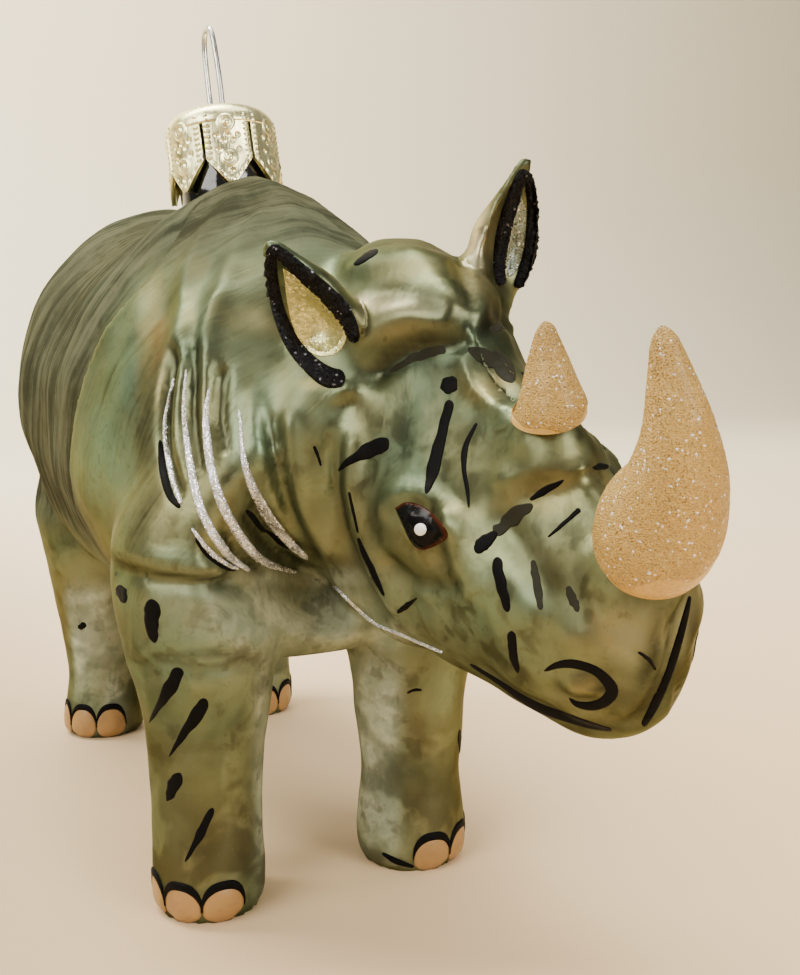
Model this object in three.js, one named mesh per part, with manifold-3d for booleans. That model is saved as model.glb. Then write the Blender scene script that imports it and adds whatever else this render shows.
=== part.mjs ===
// Hanging glass ornament: a standing two-horned rhinoceros under a crimped metal cap with a wire loop.
// Millimetres, +Z up. The nose points towards -Y and the animal's left side towards +X.
import * as THREE from 'three';
import { ParametricGeometry } from 'three/addons/geometries/ParametricGeometry.js';
import { mergeVertices } from 'three/addons/utils/BufferGeometryUtils.js';
import Module from 'manifold-3d';

const wasm = await Module();
wasm.setup();

// ---- driving dimensions ----
const GAP = 0.3;            // clear space between touching pieces
const MIDDLE = 12.35;       // moves the middle of the outline over the origin, along Y
const SOLE_LEVEL = 1.6;     // level of the soles in the rows below; the whole animal is set down by it

// Rows of each body: where the ring is, then half width, top, bottom, height of the widest
// place and how sharp the roof of the ring is (1 is round, more is like a ridge).
const TORSO = [
  [-38, 12.0, 57.0, 30.0, 45.0, 1.05],
  [-30, 16.3, 62.8, 24.6, 44.0, 1.25],
  [-21, 19.3, 68.3, 23.8, 44.0, 1.5],
  [-11, 20.6, 72.3, 23.6, 45.0, 1.5],
  [-1, 20.6, 71.0, 23.2, 46.0, 1.3],
  [9, 20.8, 69.8, 22.8, 47.0, 1.15],
  [20, 21.3, 71.8, 23.6, 48.0, 1.1],
  [31, 20.8, 73.8, 27.0, 49.0, 1.1],
  [40, 17.5, 71.0, 33.0, 50.0, 1.05],
  [47, 12.5, 65.0, 40.0, 52.0, 1.0],
];
const TORSO_ENDS = [9, 9];  // length over which the chest and the rump round off
// Hollow of the chest under the jaw: its middle, left and up, how wide and tall, and how deep from the front.
const CHEST = { x: 1, z: 33, wide: 9, tall: 8, front: -38, depth: 12 };

const HEAD_SEAT = new THREE.Vector3(5.44, -40.23, 58.54);   // poll, between the ears
const HEAD_TURN = [-4.57, -19.02, 37.71];                   // yaw, roll and pitch in degrees
const HEAD = [
  [-14, 10.5, -2.6, -34.0, -18.0, 1.1],
  [-5, 10.6, 1.3, -30.8, -15.0, 1.15],
  [2.5, 10.1, 3.1, -30.5, -13.0, 1.5],
  [9, 9.3, 1.6, -30.3, -12.0, 2.3],
  [15, 8.9, 0.4, -27.3, -10.6, 2.3],
  [20.5, 8.2, 0.9, -23.3, -9.8, 1.9],
  [25, 7.6, -0.6, -21.7, -9.4, 1.9],
  [31, 6.7, -1.3, -19.5, -9.6, 1.1],
  [38.8, 3.6, -2.4, -18.4, -11.2, 0.85],
];
const HEAD_ENDS = [6, 4.6];
const HEAD_LEAN = 0.28;     // sideways drift of the jaw for each millimetre of depth
// The drift eases off between two places along the head, down to a share of itself.
const LEAN_EASE = { from: 22, to: 38, share: 0.35 };
// Round swellings that carry the horns: forward, left and up of the poll, and the radius.
const SEATS = [[33.4, -0.2, -3.4, 3.8], [20.7, -0.1, -0.6, 3.0]];

const NECK = [
  [0, 16, 15, -19, 0, 1.3],
  [11, 14.0, 12.8, -16.5, 0, 1.25],
  [20, 10.6, 9.6, -13.5, 0, 1.15],
  [27, 7.2, 6.8, -10.5, 0, 1.0],
];
const NECK_FROM = new THREE.Vector3(0, -14, 50);
const NECK_TO = new THREE.Vector3(5.2, -48, 44);
const NECK_ENDS = [5, 5];
// Cuts that part the neck from the shoulders and from the head: two points in side view, y and z.
const SHOULDER_CUT = [[-19, 72], [-40.5, 30]];
const HEAD_CUT = [[-33, 66], [-43.5, 26]];

const LEG_TOP = 53;
const SOLE_DEPTH = 1.2;     // how far a leg is drawn past the floor before its sole is cut flat
const SOLE_CROWD = 1.6;     // how closely the rings of a leg crowd towards the sole
const LEG_ENDS = [2.4, 3];  // length over which the sole and the top of a leg round off
// Rows of a leg: height, half width, half length, and how far the middle has moved in to the body.
const FRONT_LEG = [
  [0, 5.2, 5.4, 0], [5, 5.4, 5.6, 0], [11, 5.1, 5.2, 0], [19, 5.7, 6.0, 0], [27, 7.2, 7.8, 0],
  [34, 8.8, 9.6, 0.4], [41, 8.7, 10.0, 2.3], [48, 6.6, 8.0, 4.8], [53, 3.5, 5.0, 7.0],
];
const HIND_LEG = [
  [0, 5.2, 5.4, 0], [5, 5.3, 5.5, 0], [11, 4.8, 5.0, 0], [19, 5.8, 6.8, 0], [27, 7.4, 9.5, 0],
  [34, 8.8, 11.5, 0.8], [41, 8.8, 12.0, 2.4], [48, 6.8, 9.5, 4.8], [53, 3.5, 6.0, 7.0],
];
const LEGS = {
  leg_front_left: { x: 10.6, y: -26.3, rows: FRONT_LEG },
  leg_front_right: { x: -11.2, y: -28, rows: FRONT_LEG },
  leg_hind_left: { x: 10.8, y: 29, rows: HIND_LEG },
  leg_hind_right: { x: -11.2, y: 29, rows: HIND_LEG },
};

// Horns: forward, left and up of the poll, and the radius there.
const HORN_FRONT = [
  [33.8, -0.2, -0.9, 3.3], [33.6, 0, 0.9, 4.15], [33.2, 0.4, 3.3, 4.3], [33.0, 1.1, 6.4, 3.45],
  [31.9, 1.6, 9.4, 2.5], [29.9, 2.1, 12.1, 1.6], [27.8, 2.5, 14.7, 0.7],
];
const HORN_REAR = [
  [20.2, 0, 1.9, 2.95], [20.0, 0.2, 2.5, 2.8], [19.2, 0.5, 3.7, 2.25], [18.0, 1.0, 5.2, 1.6],
  [16.6, 1.6, 7.5, 0.55],
];
const HORN_FOOT_ROUND = 0.03;   // share of a horn's length over which its foot rounds off
const HORN_TIP_ROUND = 0.06;

// Root and tip of the ears: forward, out, up of the poll.
const EAR_ROOT = { ear_right: [0.8, 8.6, -3.6], ear_left: [0.8, 7.9, -2.6] };
const EAR_TIP = [-3.0, 12.1, 7.4];
// Where the open side of an ear looks: forward, out and up. The two were shaped by hand and differ.
const EAR_FACE = { ear_right: [0.62, 0.72, 0.3], ear_left: [0.9, 0.25, 0.3] };
const EAR = [                           // share of the length, half width, depth behind the rim, hollow
  [-0.3, 1.6, 1.4, 0], [0, 2.8, 3.0, 1.0], [0.2, 3.3, 4.2, 2.2], [0.45, 3.1, 4.0, 2.1],
  [0.7, 2.2, 2.2, 1.2], [0.9, 1.1, 1.0, 0.3], [1, 0.5, 0.5, 0],
];
const EAR_RIM = 0.5;                    // how far the rounded rim stands in front of the widest line
const EAR_ROUND = [0.04, 0.05];         // share of an ear's length over which its root and tip round off

// An eye: forward, out and up of the poll, its half width, depth and height, and its slope in degrees.
const EYE = { at: [17.2, 9.5, -7.6], radii: [2.1, 1.0, 1.6], slope: 20 };

// Middle line of the tail, left, back and up, and the radius there.
const TAIL = [
  [0, 42.5, 68.5, 1.2], [0, 46.6, 61.5, 1.7], [0, 48.0, 53, 1.4], [0, 47.4, 45, 1.1], [0, 46.2, 39.5, 1.5],
];
const TAIL_ROUND = [0.05, 0.06];        // share of the tail's length over which its ends round off

// Hanging fittings, measured along their own leaning axis from the foot of the cap.
const FIT_FOOT = new THREE.Vector3(1.2, 4.0, 71.8);
const FIT_LEAN = new THREE.Vector3(-0.07, 0.15, 1);
const NECK_TUBE = { radius: 5.6, bore: 4.3, foot: -7, top: 8.1, depth: 6 };
// The petals end in points: a notch that is wide at the edge narrows to a slit at its rise.
const CAP = {
  radius: 6.5, wall: 0.55, height: 9.9, edge: 2.4, waist: 4, flare: 0.25,
  petals: 7, notch: 2.6, rise: 3.0, slit: 7.8, gap: 0.2,
};
const CAP_PHASE = 0.3;           // turn of the petals, as a share of one petal
const LOOP_TURN = -0.05;         // turn of the loop from the animal's middle plane, radians
// The wire's loop: half its width, and shares of that at its foot, in the cap's top and below the arch.
const WIRE = {
  radius: 0.36, half: 2.1, foot: 0.8, entry: 0.9, neck: 0.75, below: 1.6, shoulder: 4.0, top: 10.5, arch: 1.3,
};

// ---- helpers ----
const solids = (geometry) => {
  const plain = geometry.clone();
  plain.deleteAttribute('normal');
  plain.deleteAttribute('uv');
  const merged = mergeVertices(plain, 1e-4);
  const index = Array.from(merged.index.array);
  const at = (i) => new THREE.Vector3().fromBufferAttribute(merged.attributes.position, i);
  const kept = [];
  let volume = 0;
  for (let i = 0; i < index.length; i += 3) {
    const [a, b, c] = [index[i], index[i + 1], index[i + 2]];
    if (a === b || b === c || c === a) continue;
    kept.push(a, b, c);
    volume += at(a).dot(at(b).cross(at(c)));
  }
  if (volume < 0) kept.reverse();
  return new wasm.Manifold(new wasm.Mesh({
    numProp: 3,
    vertProperties: new Float32Array(merged.attributes.position.array),
    triVerts: new Uint32Array(kept),
  }));
};

const toGeometry = (solid) => {
  const mesh = solid.getMesh();
  const geometry = new THREE.BufferGeometry();
  geometry.setAttribute('position', new THREE.BufferAttribute(mesh.vertProperties, 3));
  geometry.setIndex(new THREE.BufferAttribute(mesh.triVerts, 1));
  geometry.computeVertexNormals();
  return geometry;
};

// Smooth values through rows whose first number is the position (Catmull-Rom tangents).
const through = (rows, at) => {
  const last = rows.length - 1;
  let k = 0;
  while (k < last - 1 && at > rows[k + 1][0]) k += 1;
  const [r0, r1] = [rows[k], rows[k + 1]];
  const before = rows[Math.max(k - 1, 0)];
  const after = rows[Math.min(k + 2, last)];
  const span = r1[0] - r0[0];
  const t = Math.min(Math.max((at - r0[0]) / span, 0), 1);
  return r0.slice(1).map((_, j) => {
    const i = j + 1;
    const m0 = (r1[i] - before[i]) / (r1[0] - before[0]) * span;
    const m1 = (after[i] - r0[i]) / (after[0] - r0[0]) * span;
    return r0[i] * (1 + 2 * t) * (1 - t) ** 2 + m0 * t * (1 - t) ** 2
      + r1[i] * t * t * (3 - 2 * t) + m1 * t * t * (t - 1);
  });
};

const power = (value, exponent) => Math.sign(value) * Math.abs(value) ** exponent;

// How far an end has opened: a quarter circle over the given length.
const rounding = (distance, length) => {
  const open = Math.min(distance / length, 1);
  return Math.sqrt(Math.max(1 - (1 - open) ** 2, 0));
};

// A body laid along one axis: egg-shaped rings, closed by rounded ends.
// place(along, side, up) puts a point of it in space.
const body = (rows, ends, place, sides, rings, floorShape = 0.85, grow = 0) => {
  const [first, last] = [rows[0][0], rows[rows.length - 1][0]];
  const surface = (u, v, target) => {
    const along = first + (last - first) * (1 - Math.cos(Math.PI * v)) / 2;
    const [wide, high, low, widest, roof] = through(rows, along);
    const [half, top, bottom] = [wide + grow, high + grow, low - grow];
    const open = rounding(along - first, ends[0]) * rounding(last - along, ends[1]);
    const angle = 2 * Math.PI * u;
    const [c, s] = [Math.cos(angle), Math.sin(angle)];
    const side = half * power(c, s > 0 ? roof : floorShape) * open;
    const up = widest + (s > 0 ? (top - widest) * s : (widest - bottom) * s) * open;
    target.copy(place(along, side, up));
  };
  return solids(new ParametricGeometry(surface, sides, rings));
};

const turn = new THREE.Matrix4();
{
  const [yaw, roll, pitch] = HEAD_TURN.map(THREE.MathUtils.degToRad);
  turn.makeRotationZ(yaw);
  turn.multiply(new THREE.Matrix4().makeRotationY(roll));
  turn.multiply(new THREE.Matrix4().makeRotationX(pitch));
}
const headDrift = (forward, up) => {
  const { from, to, share } = LEAN_EASE;
  const eased = THREE.MathUtils.clamp((forward - from) / (to - from), 0, 1);
  return HEAD_LEAN * (1 - (1 - share) * eased) * Math.min(up + 2, 0);
};
// A point given as forward, left and up of the poll.
const onHead = (forward, left, up) => new THREE.Vector3(left + headDrift(forward, up), -forward, up)
  .applyMatrix4(turn).add(HEAD_SEAT);

// Rows moved outwards at both ends, for a body that is a clear space larger all round.
const longer = (rows, grow) => rows.map((row, i) => {
  const shift = i === 0 ? -grow : (i === rows.length - 1 ? grow : 0);
  return [row[0] + shift, ...row.slice(1)];
});

// Y of a point of the chest: not further forward than the hollow allows.
const hollowed = (x, y, z, grow = 0) => {
  const { wide, tall, front, depth } = CHEST;
  const share = Math.exp(-(((x - CHEST.x) / wide) ** 2) - ((z - CHEST.z) / tall) ** 2);
  return Math.max(y, front + depth * share - grow);
};
const torso = (grow = 0) => body(longer(TORSO, grow), TORSO_ENDS,
  (y, x, z) => new THREE.Vector3(x, hollowed(x, y, z, grow), z), 36, 30, 0.85, grow);
const seat = ([forward, left, up, radius], grow) => {
  const geometry = new THREE.SphereGeometry(radius + grow, 16, 10);
  return solids(geometry.translate(...onHead(forward, left, up).toArray()));
};
const head = (grow = 0) => SEATS.reduce((whole, place) => whole.add(seat(place, grow)),
  body(longer(HEAD, grow), HEAD_ENDS, onHead, 32, 26, 0.8, grow));
const neckAxis = NECK_TO.clone().sub(NECK_FROM);
const neckDir = neckAxis.clone().normalize();
const neckSide = new THREE.Vector3(0, 0, 1).cross(neckDir).negate().normalize();
const neckUp = neckSide.clone().cross(neckDir).normalize();
const onNeck = (along, side, up) => NECK_FROM.clone()
  .addScaledVector(neckDir, along).addScaledVector(neckSide, -side).addScaledVector(neckUp, up);
const neck = (grow = 0) => body(longer(NECK, grow), NECK_ENDS, onNeck, 28, 12, 0.85, grow);

const leg = ({ x, y, rows }) => {
  const surface = (u, v, target) => {
    const foot = SOLE_LEVEL - SOLE_DEPTH;
    const z = foot + (LEG_TOP - foot) * v ** SOLE_CROWD;
    const [rx, ry, inward] = through(rows, z);
    const open = rounding(z - foot, LEG_ENDS[0]) * rounding(LEG_TOP - z, LEG_ENDS[1]);
    const angle = 2 * Math.PI * u;
    const middle = x - Math.sign(x) * inward;
    target.set(middle + rx * open * Math.cos(angle), y + ry * open * Math.sin(angle), z);
    target.y = hollowed(target.x, target.y, z);
  };
  return solids(new ParametricGeometry(surface, 20, 22));
};

// A round body along a bent line in the head's middle plane.
const horn = (rows, sides, rings, grow = 0) => {
  const path = new THREE.CatmullRomCurve3(rows.map(([f, l, u]) => new THREE.Vector3(l, -f, u)));
  const radii = rows.map((row, i) => [i / (rows.length - 1), row[3]]);
  const across = new THREE.Vector3(1, 0, 0);
  const surface = (u, v, target) => {
    const t = (1 - Math.cos(Math.PI * v)) / 2;
    const radius = through(radii, t)[0] + grow;
    const open = rounding(t, HORN_FOOT_ROUND) * rounding(1 - t, HORN_TIP_ROUND);
    const angle = 2 * Math.PI * u;
    const centre = path.getPoint(t);
    if (v === 0) centre.addScaledVector(path.getTangent(0), -grow);
    const normal = path.getTangent(t).cross(across);
    centre.addScaledVector(across, radius * open * Math.cos(angle));
    centre.addScaledVector(normal, radius * open * Math.sin(angle));
    target.copy(centre.applyMatrix4(turn).add(HEAD_SEAT));
  };
  return solids(new ParametricGeometry(surface, sides, rings));
};

const ear = (name, grow = 0) => {
  const sign = name === 'ear_left' ? 1 : -1;
  const point = ([f, l, u]) => new THREE.Vector3(sign * l, -f, u);
  const [root, tip, face] = [EAR_ROOT[name], EAR_TIP, EAR_FACE[name]].map(point);
  const axis = tip.clone().sub(root);
  const wide = axis.clone().cross(face).normalize();
  const out = wide.clone().cross(axis).normalize();
  const surface = (u, v, target) => {
    const t = EAR[0][0] + (1 - EAR[0][0]) * (1 - Math.cos(Math.PI * v)) / 2;
    const [half, thick, hollow] = through(EAR, t).map((size, i) => size + (i < 2 ? grow : 0));
    const open = rounding(t - EAR[0][0], EAR_ROUND[0]) * rounding(1 - t, EAR_ROUND[1]);
    const angle = 2 * Math.PI * u;
    const [c, s] = [Math.cos(angle), Math.sin(angle)];
    const bulge = s > 0 ? (EAR_RIM + grow) * s - Math.max(hollow - grow, 0) * s * s : thick * s;
    target.copy(root).addScaledVector(axis, t)
      .addScaledVector(wide, half * c * open)
      .addScaledVector(out, bulge * open);
    target.applyMatrix4(turn).add(HEAD_SEAT);
  };
  return solids(new ParametricGeometry(surface, 16, 13));
};

const eye = (sign, grow = 0) => {
  const geometry = new THREE.SphereGeometry(1, 14, 8);
  const [rx, ry, rz] = EYE.radii.map((radius) => radius + grow);
  const [forward, out, up] = EYE.at;
  const drift = headDrift(forward, up);
  geometry.scale(ry, rx, rz);
  geometry.rotateX(THREE.MathUtils.degToRad(EYE.slope));
  geometry.translate(sign * (out + drift) + drift, -forward, up);
  geometry.applyMatrix4(turn).translate(...HEAD_SEAT.toArray());
  return solids(geometry);
};

// A closed tube along a smooth line of points, with the radius given at every point.
const taper = (rows, sides, rings) => {
  const path = new THREE.CatmullRomCurve3(rows.map(([x, y, z]) => new THREE.Vector3(x, y, z)));
  const radii = rows.map((row, i) => [i / (rows.length - 1), row[3]]);
  const across = new THREE.Vector3(1, 0, 0);
  return solids(new ParametricGeometry((u, v, target) => {
    const t = (1 - Math.cos(Math.PI * v)) / 2;
    const radius = through(radii, t)[0] * rounding(t, TAIL_ROUND[0]) * rounding(1 - t, TAIL_ROUND[1]);
    const normal = path.getTangent(t).cross(across);
    target.copy(path.getPoint(t))
      .addScaledVector(across, radius * Math.cos(2 * Math.PI * u))
      .addScaledVector(normal, radius * Math.sin(2 * Math.PI * u));
  }, sides, rings));
};

const box = (size, centre) => {
  const geometry = new THREE.BoxGeometry(...size);
  geometry.translate(...centre);
  return solids(geometry);
};

// A slab one clear space thick, through two points of the side view and right across the animal.
const CUT_REACH = 60;       // width and height of a cut, more than the neck's
const slab = ([[y0, z0], [y1, z1]]) => {
  const geometry = new THREE.BoxGeometry(CUT_REACH, GAP, CUT_REACH);
  geometry.rotateX(Math.atan2(y1 - y0, z0 - z1));
  geometry.translate(0, (y0 + y1) / 2, (z0 + z1) / 2);
  return solids(geometry);
};

const largest = (solid) => solid.decompose().sort((a, b) => b.volume() - a.volume())[0];

// ---- hanging fittings ----
const fitUp = FIT_LEAN.clone().normalize();
const fitTurn = new THREE.Quaternion().setFromUnitVectors(new THREE.Vector3(0, 0, 1), fitUp);
const upright = new THREE.Matrix4().makeRotationX(Math.PI / 2);
const lathe = (profile, sides) => {
  const geometry = new THREE.LatheGeometry(profile.map(([r, z]) => new THREE.Vector2(r, z)), sides);
  return geometry.applyMatrix4(upright);
};
const fit = (geometry) => {
  geometry.applyQuaternion(fitTurn);
  geometry.translate(...FIT_FOOT.toArray());
  return solids(geometry);
};

const neckTube = () => {
  const { radius, bore, foot, top, depth } = NECK_TUBE;
  const outside = [[0, foot], [radius, foot], [radius, top]];
  const inside = [[bore, top], [bore, top - depth], [0, top - depth]];
  return fit(lathe([...outside, ...inside], 32));
};

const wirePath = () => {
  const { half, foot, entry, neck, below, shoulder, top, arch } = WIRE;
  const { height } = CAP;
  const side = (sign) => [
    [sign * half * foot, height - below], [sign * half * entry, height],
    [sign * half, height + shoulder], [sign * half * neck, height + top - arch],
  ];
  const points = [...side(-1), [0, height + top], ...side(1).reverse()];
  const across = new THREE.Vector3(Math.sin(LOOP_TURN), Math.cos(LOOP_TURN), 0);
  const line = points.map(([w, z]) => across.clone().multiplyScalar(w).setZ(z));
  return new THREE.CatmullRomCurve3(line, false, 'centripetal');
};
const wire = (grow = 0, sides = 4, steps = 24) => {
  const ring = new THREE.Shape();
  ring.absarc(0, 0, WIRE.radius + grow, 0, 2 * Math.PI);
  return fit(new THREE.ExtrudeGeometry(ring, { steps, curveSegments: sides, extrudePath: wirePath() }));
};

const cap = () => {
  const { radius, wall, height, edge, waist, flare, petals, notch, rise, slit, gap } = CAP;
  // The rounded shoulder, from the top down to the side, for a shell that lies this far inside.
  const shoulder = (inside) => [0, 1, 2, 3].map((step) => {
    const angle = (Math.PI / 6) * step;
    const arc = edge - inside;
    return [radius - edge + arc * Math.sin(angle), height - edge + arc * Math.cos(angle)];
  });
  const shell = fit(lathe([
    [0, height], ...shoulder(0), [radius, waist], [radius + flare, 0],
    [radius + flare - wall, 0], [radius - wall, waist], ...shoulder(wall).reverse(), [0, height - wall],
  ], 35));
  let solid = shell;
  for (let k = 0; k < petals; k += 1) {
    const outline = new THREE.Shape([
      new THREE.Vector2(-notch, -1), new THREE.Vector2(notch, -1), new THREE.Vector2(notch, 0),
      new THREE.Vector2(gap, rise), new THREE.Vector2(gap, slit), new THREE.Vector2(-gap, slit),
      new THREE.Vector2(-gap, rise), new THREE.Vector2(-notch, 0),
    ]);
    const wedge = new THREE.ExtrudeGeometry(outline, { depth: radius * 2, bevelEnabled: false });
    wedge.rotateX(Math.PI / 2);
    wedge.rotateZ(2 * Math.PI * (k + CAP_PHASE) / petals);
    solid = solid.subtract(fit(wedge));
  }
  return solid.subtract(wire(GAP));
};

// ---- the animal ----
const floor = box([200, 300, 20], [0, 0, SOLE_LEVEL - 10]);
const carried = {
  horn_front: (grow) => horn(HORN_FRONT, 18, 14, grow),
  horn_rear: (grow) => horn(HORN_REAR, 16, 8, grow),
  ear_right: (grow) => ear('ear_right', grow),
  ear_left: (grow) => ear('ear_left', grow),
  eye_right: (grow) => eye(-1, grow),
  eye_left: (grow) => eye(1, grow),
};
const trunkOf = (grow) => torso(grow).add(neck(grow)).add(head(grow));
let trunk = trunkOf(0);
for (const make of Object.values(carried)) trunk = trunk.subtract(make(GAP));
trunk = trunk.subtract(slab(SHOULDER_CUT)).subtract(slab(HEAD_CUT));
const grown = trunkOf(GAP);

const finish = {
  hide: { color: 0x77775a, roughness: 0.35, metalness: 0.8 },
  horn: { color: 0xe2c3a6, roughness: 0.8, metalness: 0 },
  silver: { color: 0xc9ccca, roughness: 0.3, metalness: 1 },
  black: { color: 0x111111, roughness: 0.3, metalness: 0 },
};
const group = new THREE.Group();
const add = (name, solid, look) => {
  const mesh = new THREE.Mesh(toGeometry(solid), new THREE.MeshStandardMaterial(finish[look]));
  mesh.name = name;
  group.add(mesh);
};

const lengths = trunk.decompose().sort((a, b) => b.volume() - a.volume()).slice(0, 3);
const middleY = (solid) => {
  const { min, max } = solid.boundingBox();
  return (min[1] + max[1]) / 2;
};
lengths.sort((a, b) => middleY(b) - middleY(a));
['torso', 'neck', 'head'].forEach((name, i) => add(name, lengths[i], 'hide'));
for (const [name, size] of Object.entries(LEGS)) {
  add(name, largest(leg(size).subtract(grown).subtract(floor)), 'hide');
}
add('tail', largest(taper(TAIL, 10, 12).subtract(grown)), 'hide');
for (const [name, make] of Object.entries(carried)) {
  add(name, make(0), name.startsWith('horn') ? 'horn' : name.startsWith('eye') ? 'black' : 'hide');
}
add('glass_neck', largest(neckTube().subtract(grown)), 'black');
add('cap', cap(), 'silver');
add('hanging_loop', wire(), 'silver');

group.position.set(0, MIDDLE, -SOLE_LEVEL);

export default group;
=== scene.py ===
"""Blown glass rhinoceros ornament: one lacquered skin with painted strokes, glitter, horns, cap and wire loop."""

import bpy
import numpy as np
from mathutils import Matrix, Vector


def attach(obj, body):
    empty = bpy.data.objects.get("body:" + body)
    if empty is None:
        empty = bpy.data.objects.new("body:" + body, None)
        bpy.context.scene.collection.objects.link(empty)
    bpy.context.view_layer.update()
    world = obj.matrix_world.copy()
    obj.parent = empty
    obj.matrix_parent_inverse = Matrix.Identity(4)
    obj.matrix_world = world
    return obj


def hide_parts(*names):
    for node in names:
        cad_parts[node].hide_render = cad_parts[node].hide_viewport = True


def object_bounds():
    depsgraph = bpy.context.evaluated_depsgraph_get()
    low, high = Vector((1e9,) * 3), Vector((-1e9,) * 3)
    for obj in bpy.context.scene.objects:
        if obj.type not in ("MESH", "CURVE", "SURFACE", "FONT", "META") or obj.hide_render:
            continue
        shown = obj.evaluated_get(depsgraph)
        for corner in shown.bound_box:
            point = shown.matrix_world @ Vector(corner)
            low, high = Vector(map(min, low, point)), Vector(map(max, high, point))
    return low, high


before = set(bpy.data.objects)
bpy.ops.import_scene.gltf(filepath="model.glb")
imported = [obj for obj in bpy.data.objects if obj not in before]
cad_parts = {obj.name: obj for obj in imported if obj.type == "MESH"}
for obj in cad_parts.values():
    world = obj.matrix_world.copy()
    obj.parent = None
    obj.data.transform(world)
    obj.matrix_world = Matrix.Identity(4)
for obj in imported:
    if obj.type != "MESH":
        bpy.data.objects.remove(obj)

bl_info = {
    "name": "Glass rhinoceros ornament",
    "version": (1, 0, 0),
    "blender": (4, 5, 0),
    "location": "3D View > Sidebar > Ornament",
    "description": "Builds the lacquered glass rhinoceros with its paint, glitter, cap and wire loop",
    "category": "Object",
}

CAD_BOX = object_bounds()
MM = 0.001

# ---- the drawing: millimetres, nose towards -Y, the animal's left side towards +X ----
MIDDLE = 12.35              # moves the middle of the outline over the origin, along Y
SOLE_LEVEL = 1.6            # level of the soles in the drawing
SET_DOWN = np.array([0.0, MIDDLE, -SOLE_LEVEL])

# Rows of each body: where the ring is, half width, top, bottom, widest height, sharpness of the roof.
TORSO = [
    (-38, 12.0, 57.0, 30.0, 45.0, 1.05), (-30, 16.3, 62.8, 24.6, 44.0, 1.25),
    (-21, 19.3, 68.3, 23.8, 44.0, 1.5), (-11, 20.6, 72.3, 23.6, 45.0, 1.5),
    (-1, 20.6, 71.0, 23.2, 46.0, 1.3), (9, 20.8, 69.8, 22.8, 47.0, 1.15),
    (20, 21.3, 71.8, 23.6, 48.0, 1.1), (31, 20.8, 73.8, 27.0, 49.0, 1.1),
    (40, 17.5, 71.0, 33.0, 50.0, 1.05), (47, 12.5, 65.0, 40.0, 52.0, 1.0),
]
TORSO_ENDS = (9.0, 9.0)
# Hollow of the chest under the jaw: its middle, left and up, how wide and tall, front of the chest and depth.
CHEST = (1.0, 33.0, 9.0, 8.0, -38.0, 12.0)
HEAD_SEAT = np.array([5.44, -40.23, 58.54])
HEAD_TURN = (-4.57, -19.02, 37.71)      # yaw, roll and pitch in degrees
HEAD = [
    (-14, 10.5, -2.6, -34.0, -18.0, 1.1), (-5, 10.6, 1.3, -30.8, -15.0, 1.15),
    (2.5, 10.1, 3.1, -30.5, -13.0, 1.5), (9, 9.3, 1.6, -30.3, -12.0, 2.3),
    (15, 8.9, 0.4, -27.3, -10.6, 2.3), (20.5, 8.2, 0.9, -23.3, -9.8, 1.9),
    (25, 7.6, -0.6, -21.7, -9.4, 1.9), (31, 6.7, -1.3, -19.5, -9.6, 1.1),
    (38.8, 3.6, -2.4, -18.4, -11.2, 0.85),
]
HEAD_ENDS = (6.0, 4.6)
HEAD_LEAN = 0.28            # sideways drift of the jaw for each millimetre of depth
LEAN_EASE = (22, 38, 0.35)  # the drift eases off between two places along the head, down to a share of itself
# Round swellings that carry the horns: forward, left and up of the poll, and the radius.
SEATS = [(33.4, -0.2, -3.4, 3.8), (20.7, -0.1, -0.6, 3.0)]
NECK = [
    (0, 16, 15, -19, 0, 1.3), (11, 14.0, 12.8, -16.5, 0, 1.25),
    (20, 10.6, 9.6, -13.5, 0, 1.15), (27, 7.2, 6.8, -10.5, 0, 1.0),
]
NECK_FROM = np.array([0.0, -14.0, 50.0])
NECK_TO = np.array([5.2, -48.0, 44.0])
NECK_ENDS = (5.0, 5.0)
LEG_TOP = 53.0
SOLE_DEPTH = 1.2
# Rows of a leg: height, half width, half length, and how far the middle has moved in to the body.
FRONT_LEG = [
    (0, 5.2, 5.4, 0), (5, 5.4, 5.6, 0), (11, 5.1, 5.2, 0), (19, 5.7, 6.0, 0), (27, 7.2, 7.8, 0),
    (34, 8.8, 9.6, 0.4), (41, 8.7, 10.0, 2.3), (48, 6.6, 8.0, 4.8), (53, 3.5, 5.0, 7.0),
]
HIND_LEG = [
    (0, 5.2, 5.4, 0), (5, 5.3, 5.5, 0), (11, 4.8, 5.0, 0), (19, 5.8, 6.8, 0), (27, 7.4, 9.5, 0),
    (34, 8.8, 11.5, 0.8), (41, 8.8, 12.0, 2.4), (48, 6.8, 9.5, 4.8), (53, 3.5, 6.0, 7.0),
]
LEGS = {
    "leg_front_left": (10.6, -26.3, FRONT_LEG), "leg_front_right": (-11.2, -28.0, FRONT_LEG),
    "leg_hind_left": (10.8, 29.0, HIND_LEG), "leg_hind_right": (-11.2, 29.0, HIND_LEG),
}
# Middle line of the tail, left, back and up, and the radius there.
TAIL = [(0, 42.5, 68.5, 1.2), (0, 46.6, 61.5, 1.7), (0, 48.0, 53, 1.4), (0, 47.4, 45, 1.1), (0, 46.2, 39.5, 1.5)]
# Horns: forward, left and up of the poll, and the radius there.
HORN_FRONT = [
    (33.8, -0.2, -0.9, 3.3), (33.6, 0, 0.9, 4.15), (33.2, 0.4, 3.3, 4.3), (33.0, 1.1, 6.4, 3.45),
    (31.9, 1.6, 9.4, 2.5), (29.9, 2.1, 12.1, 1.6), (27.8, 2.5, 14.7, 0.7),
]
HORN_REAR = [
    (20.2, 0, 1.9, 2.95), (20.0, 0.2, 2.5, 2.8), (19.2, 0.5, 3.7, 2.25), (18.0, 1.0, 5.2, 1.6),
    (16.6, 1.6, 7.5, 0.55),
]
HORN_ROUND = (0.03, 0.06)               # share of a horn's length over which its foot and tip round off
HORN_INSET = 0.12           # the lacquered horn is this much thinner, which leaves room for its glitter
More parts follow.
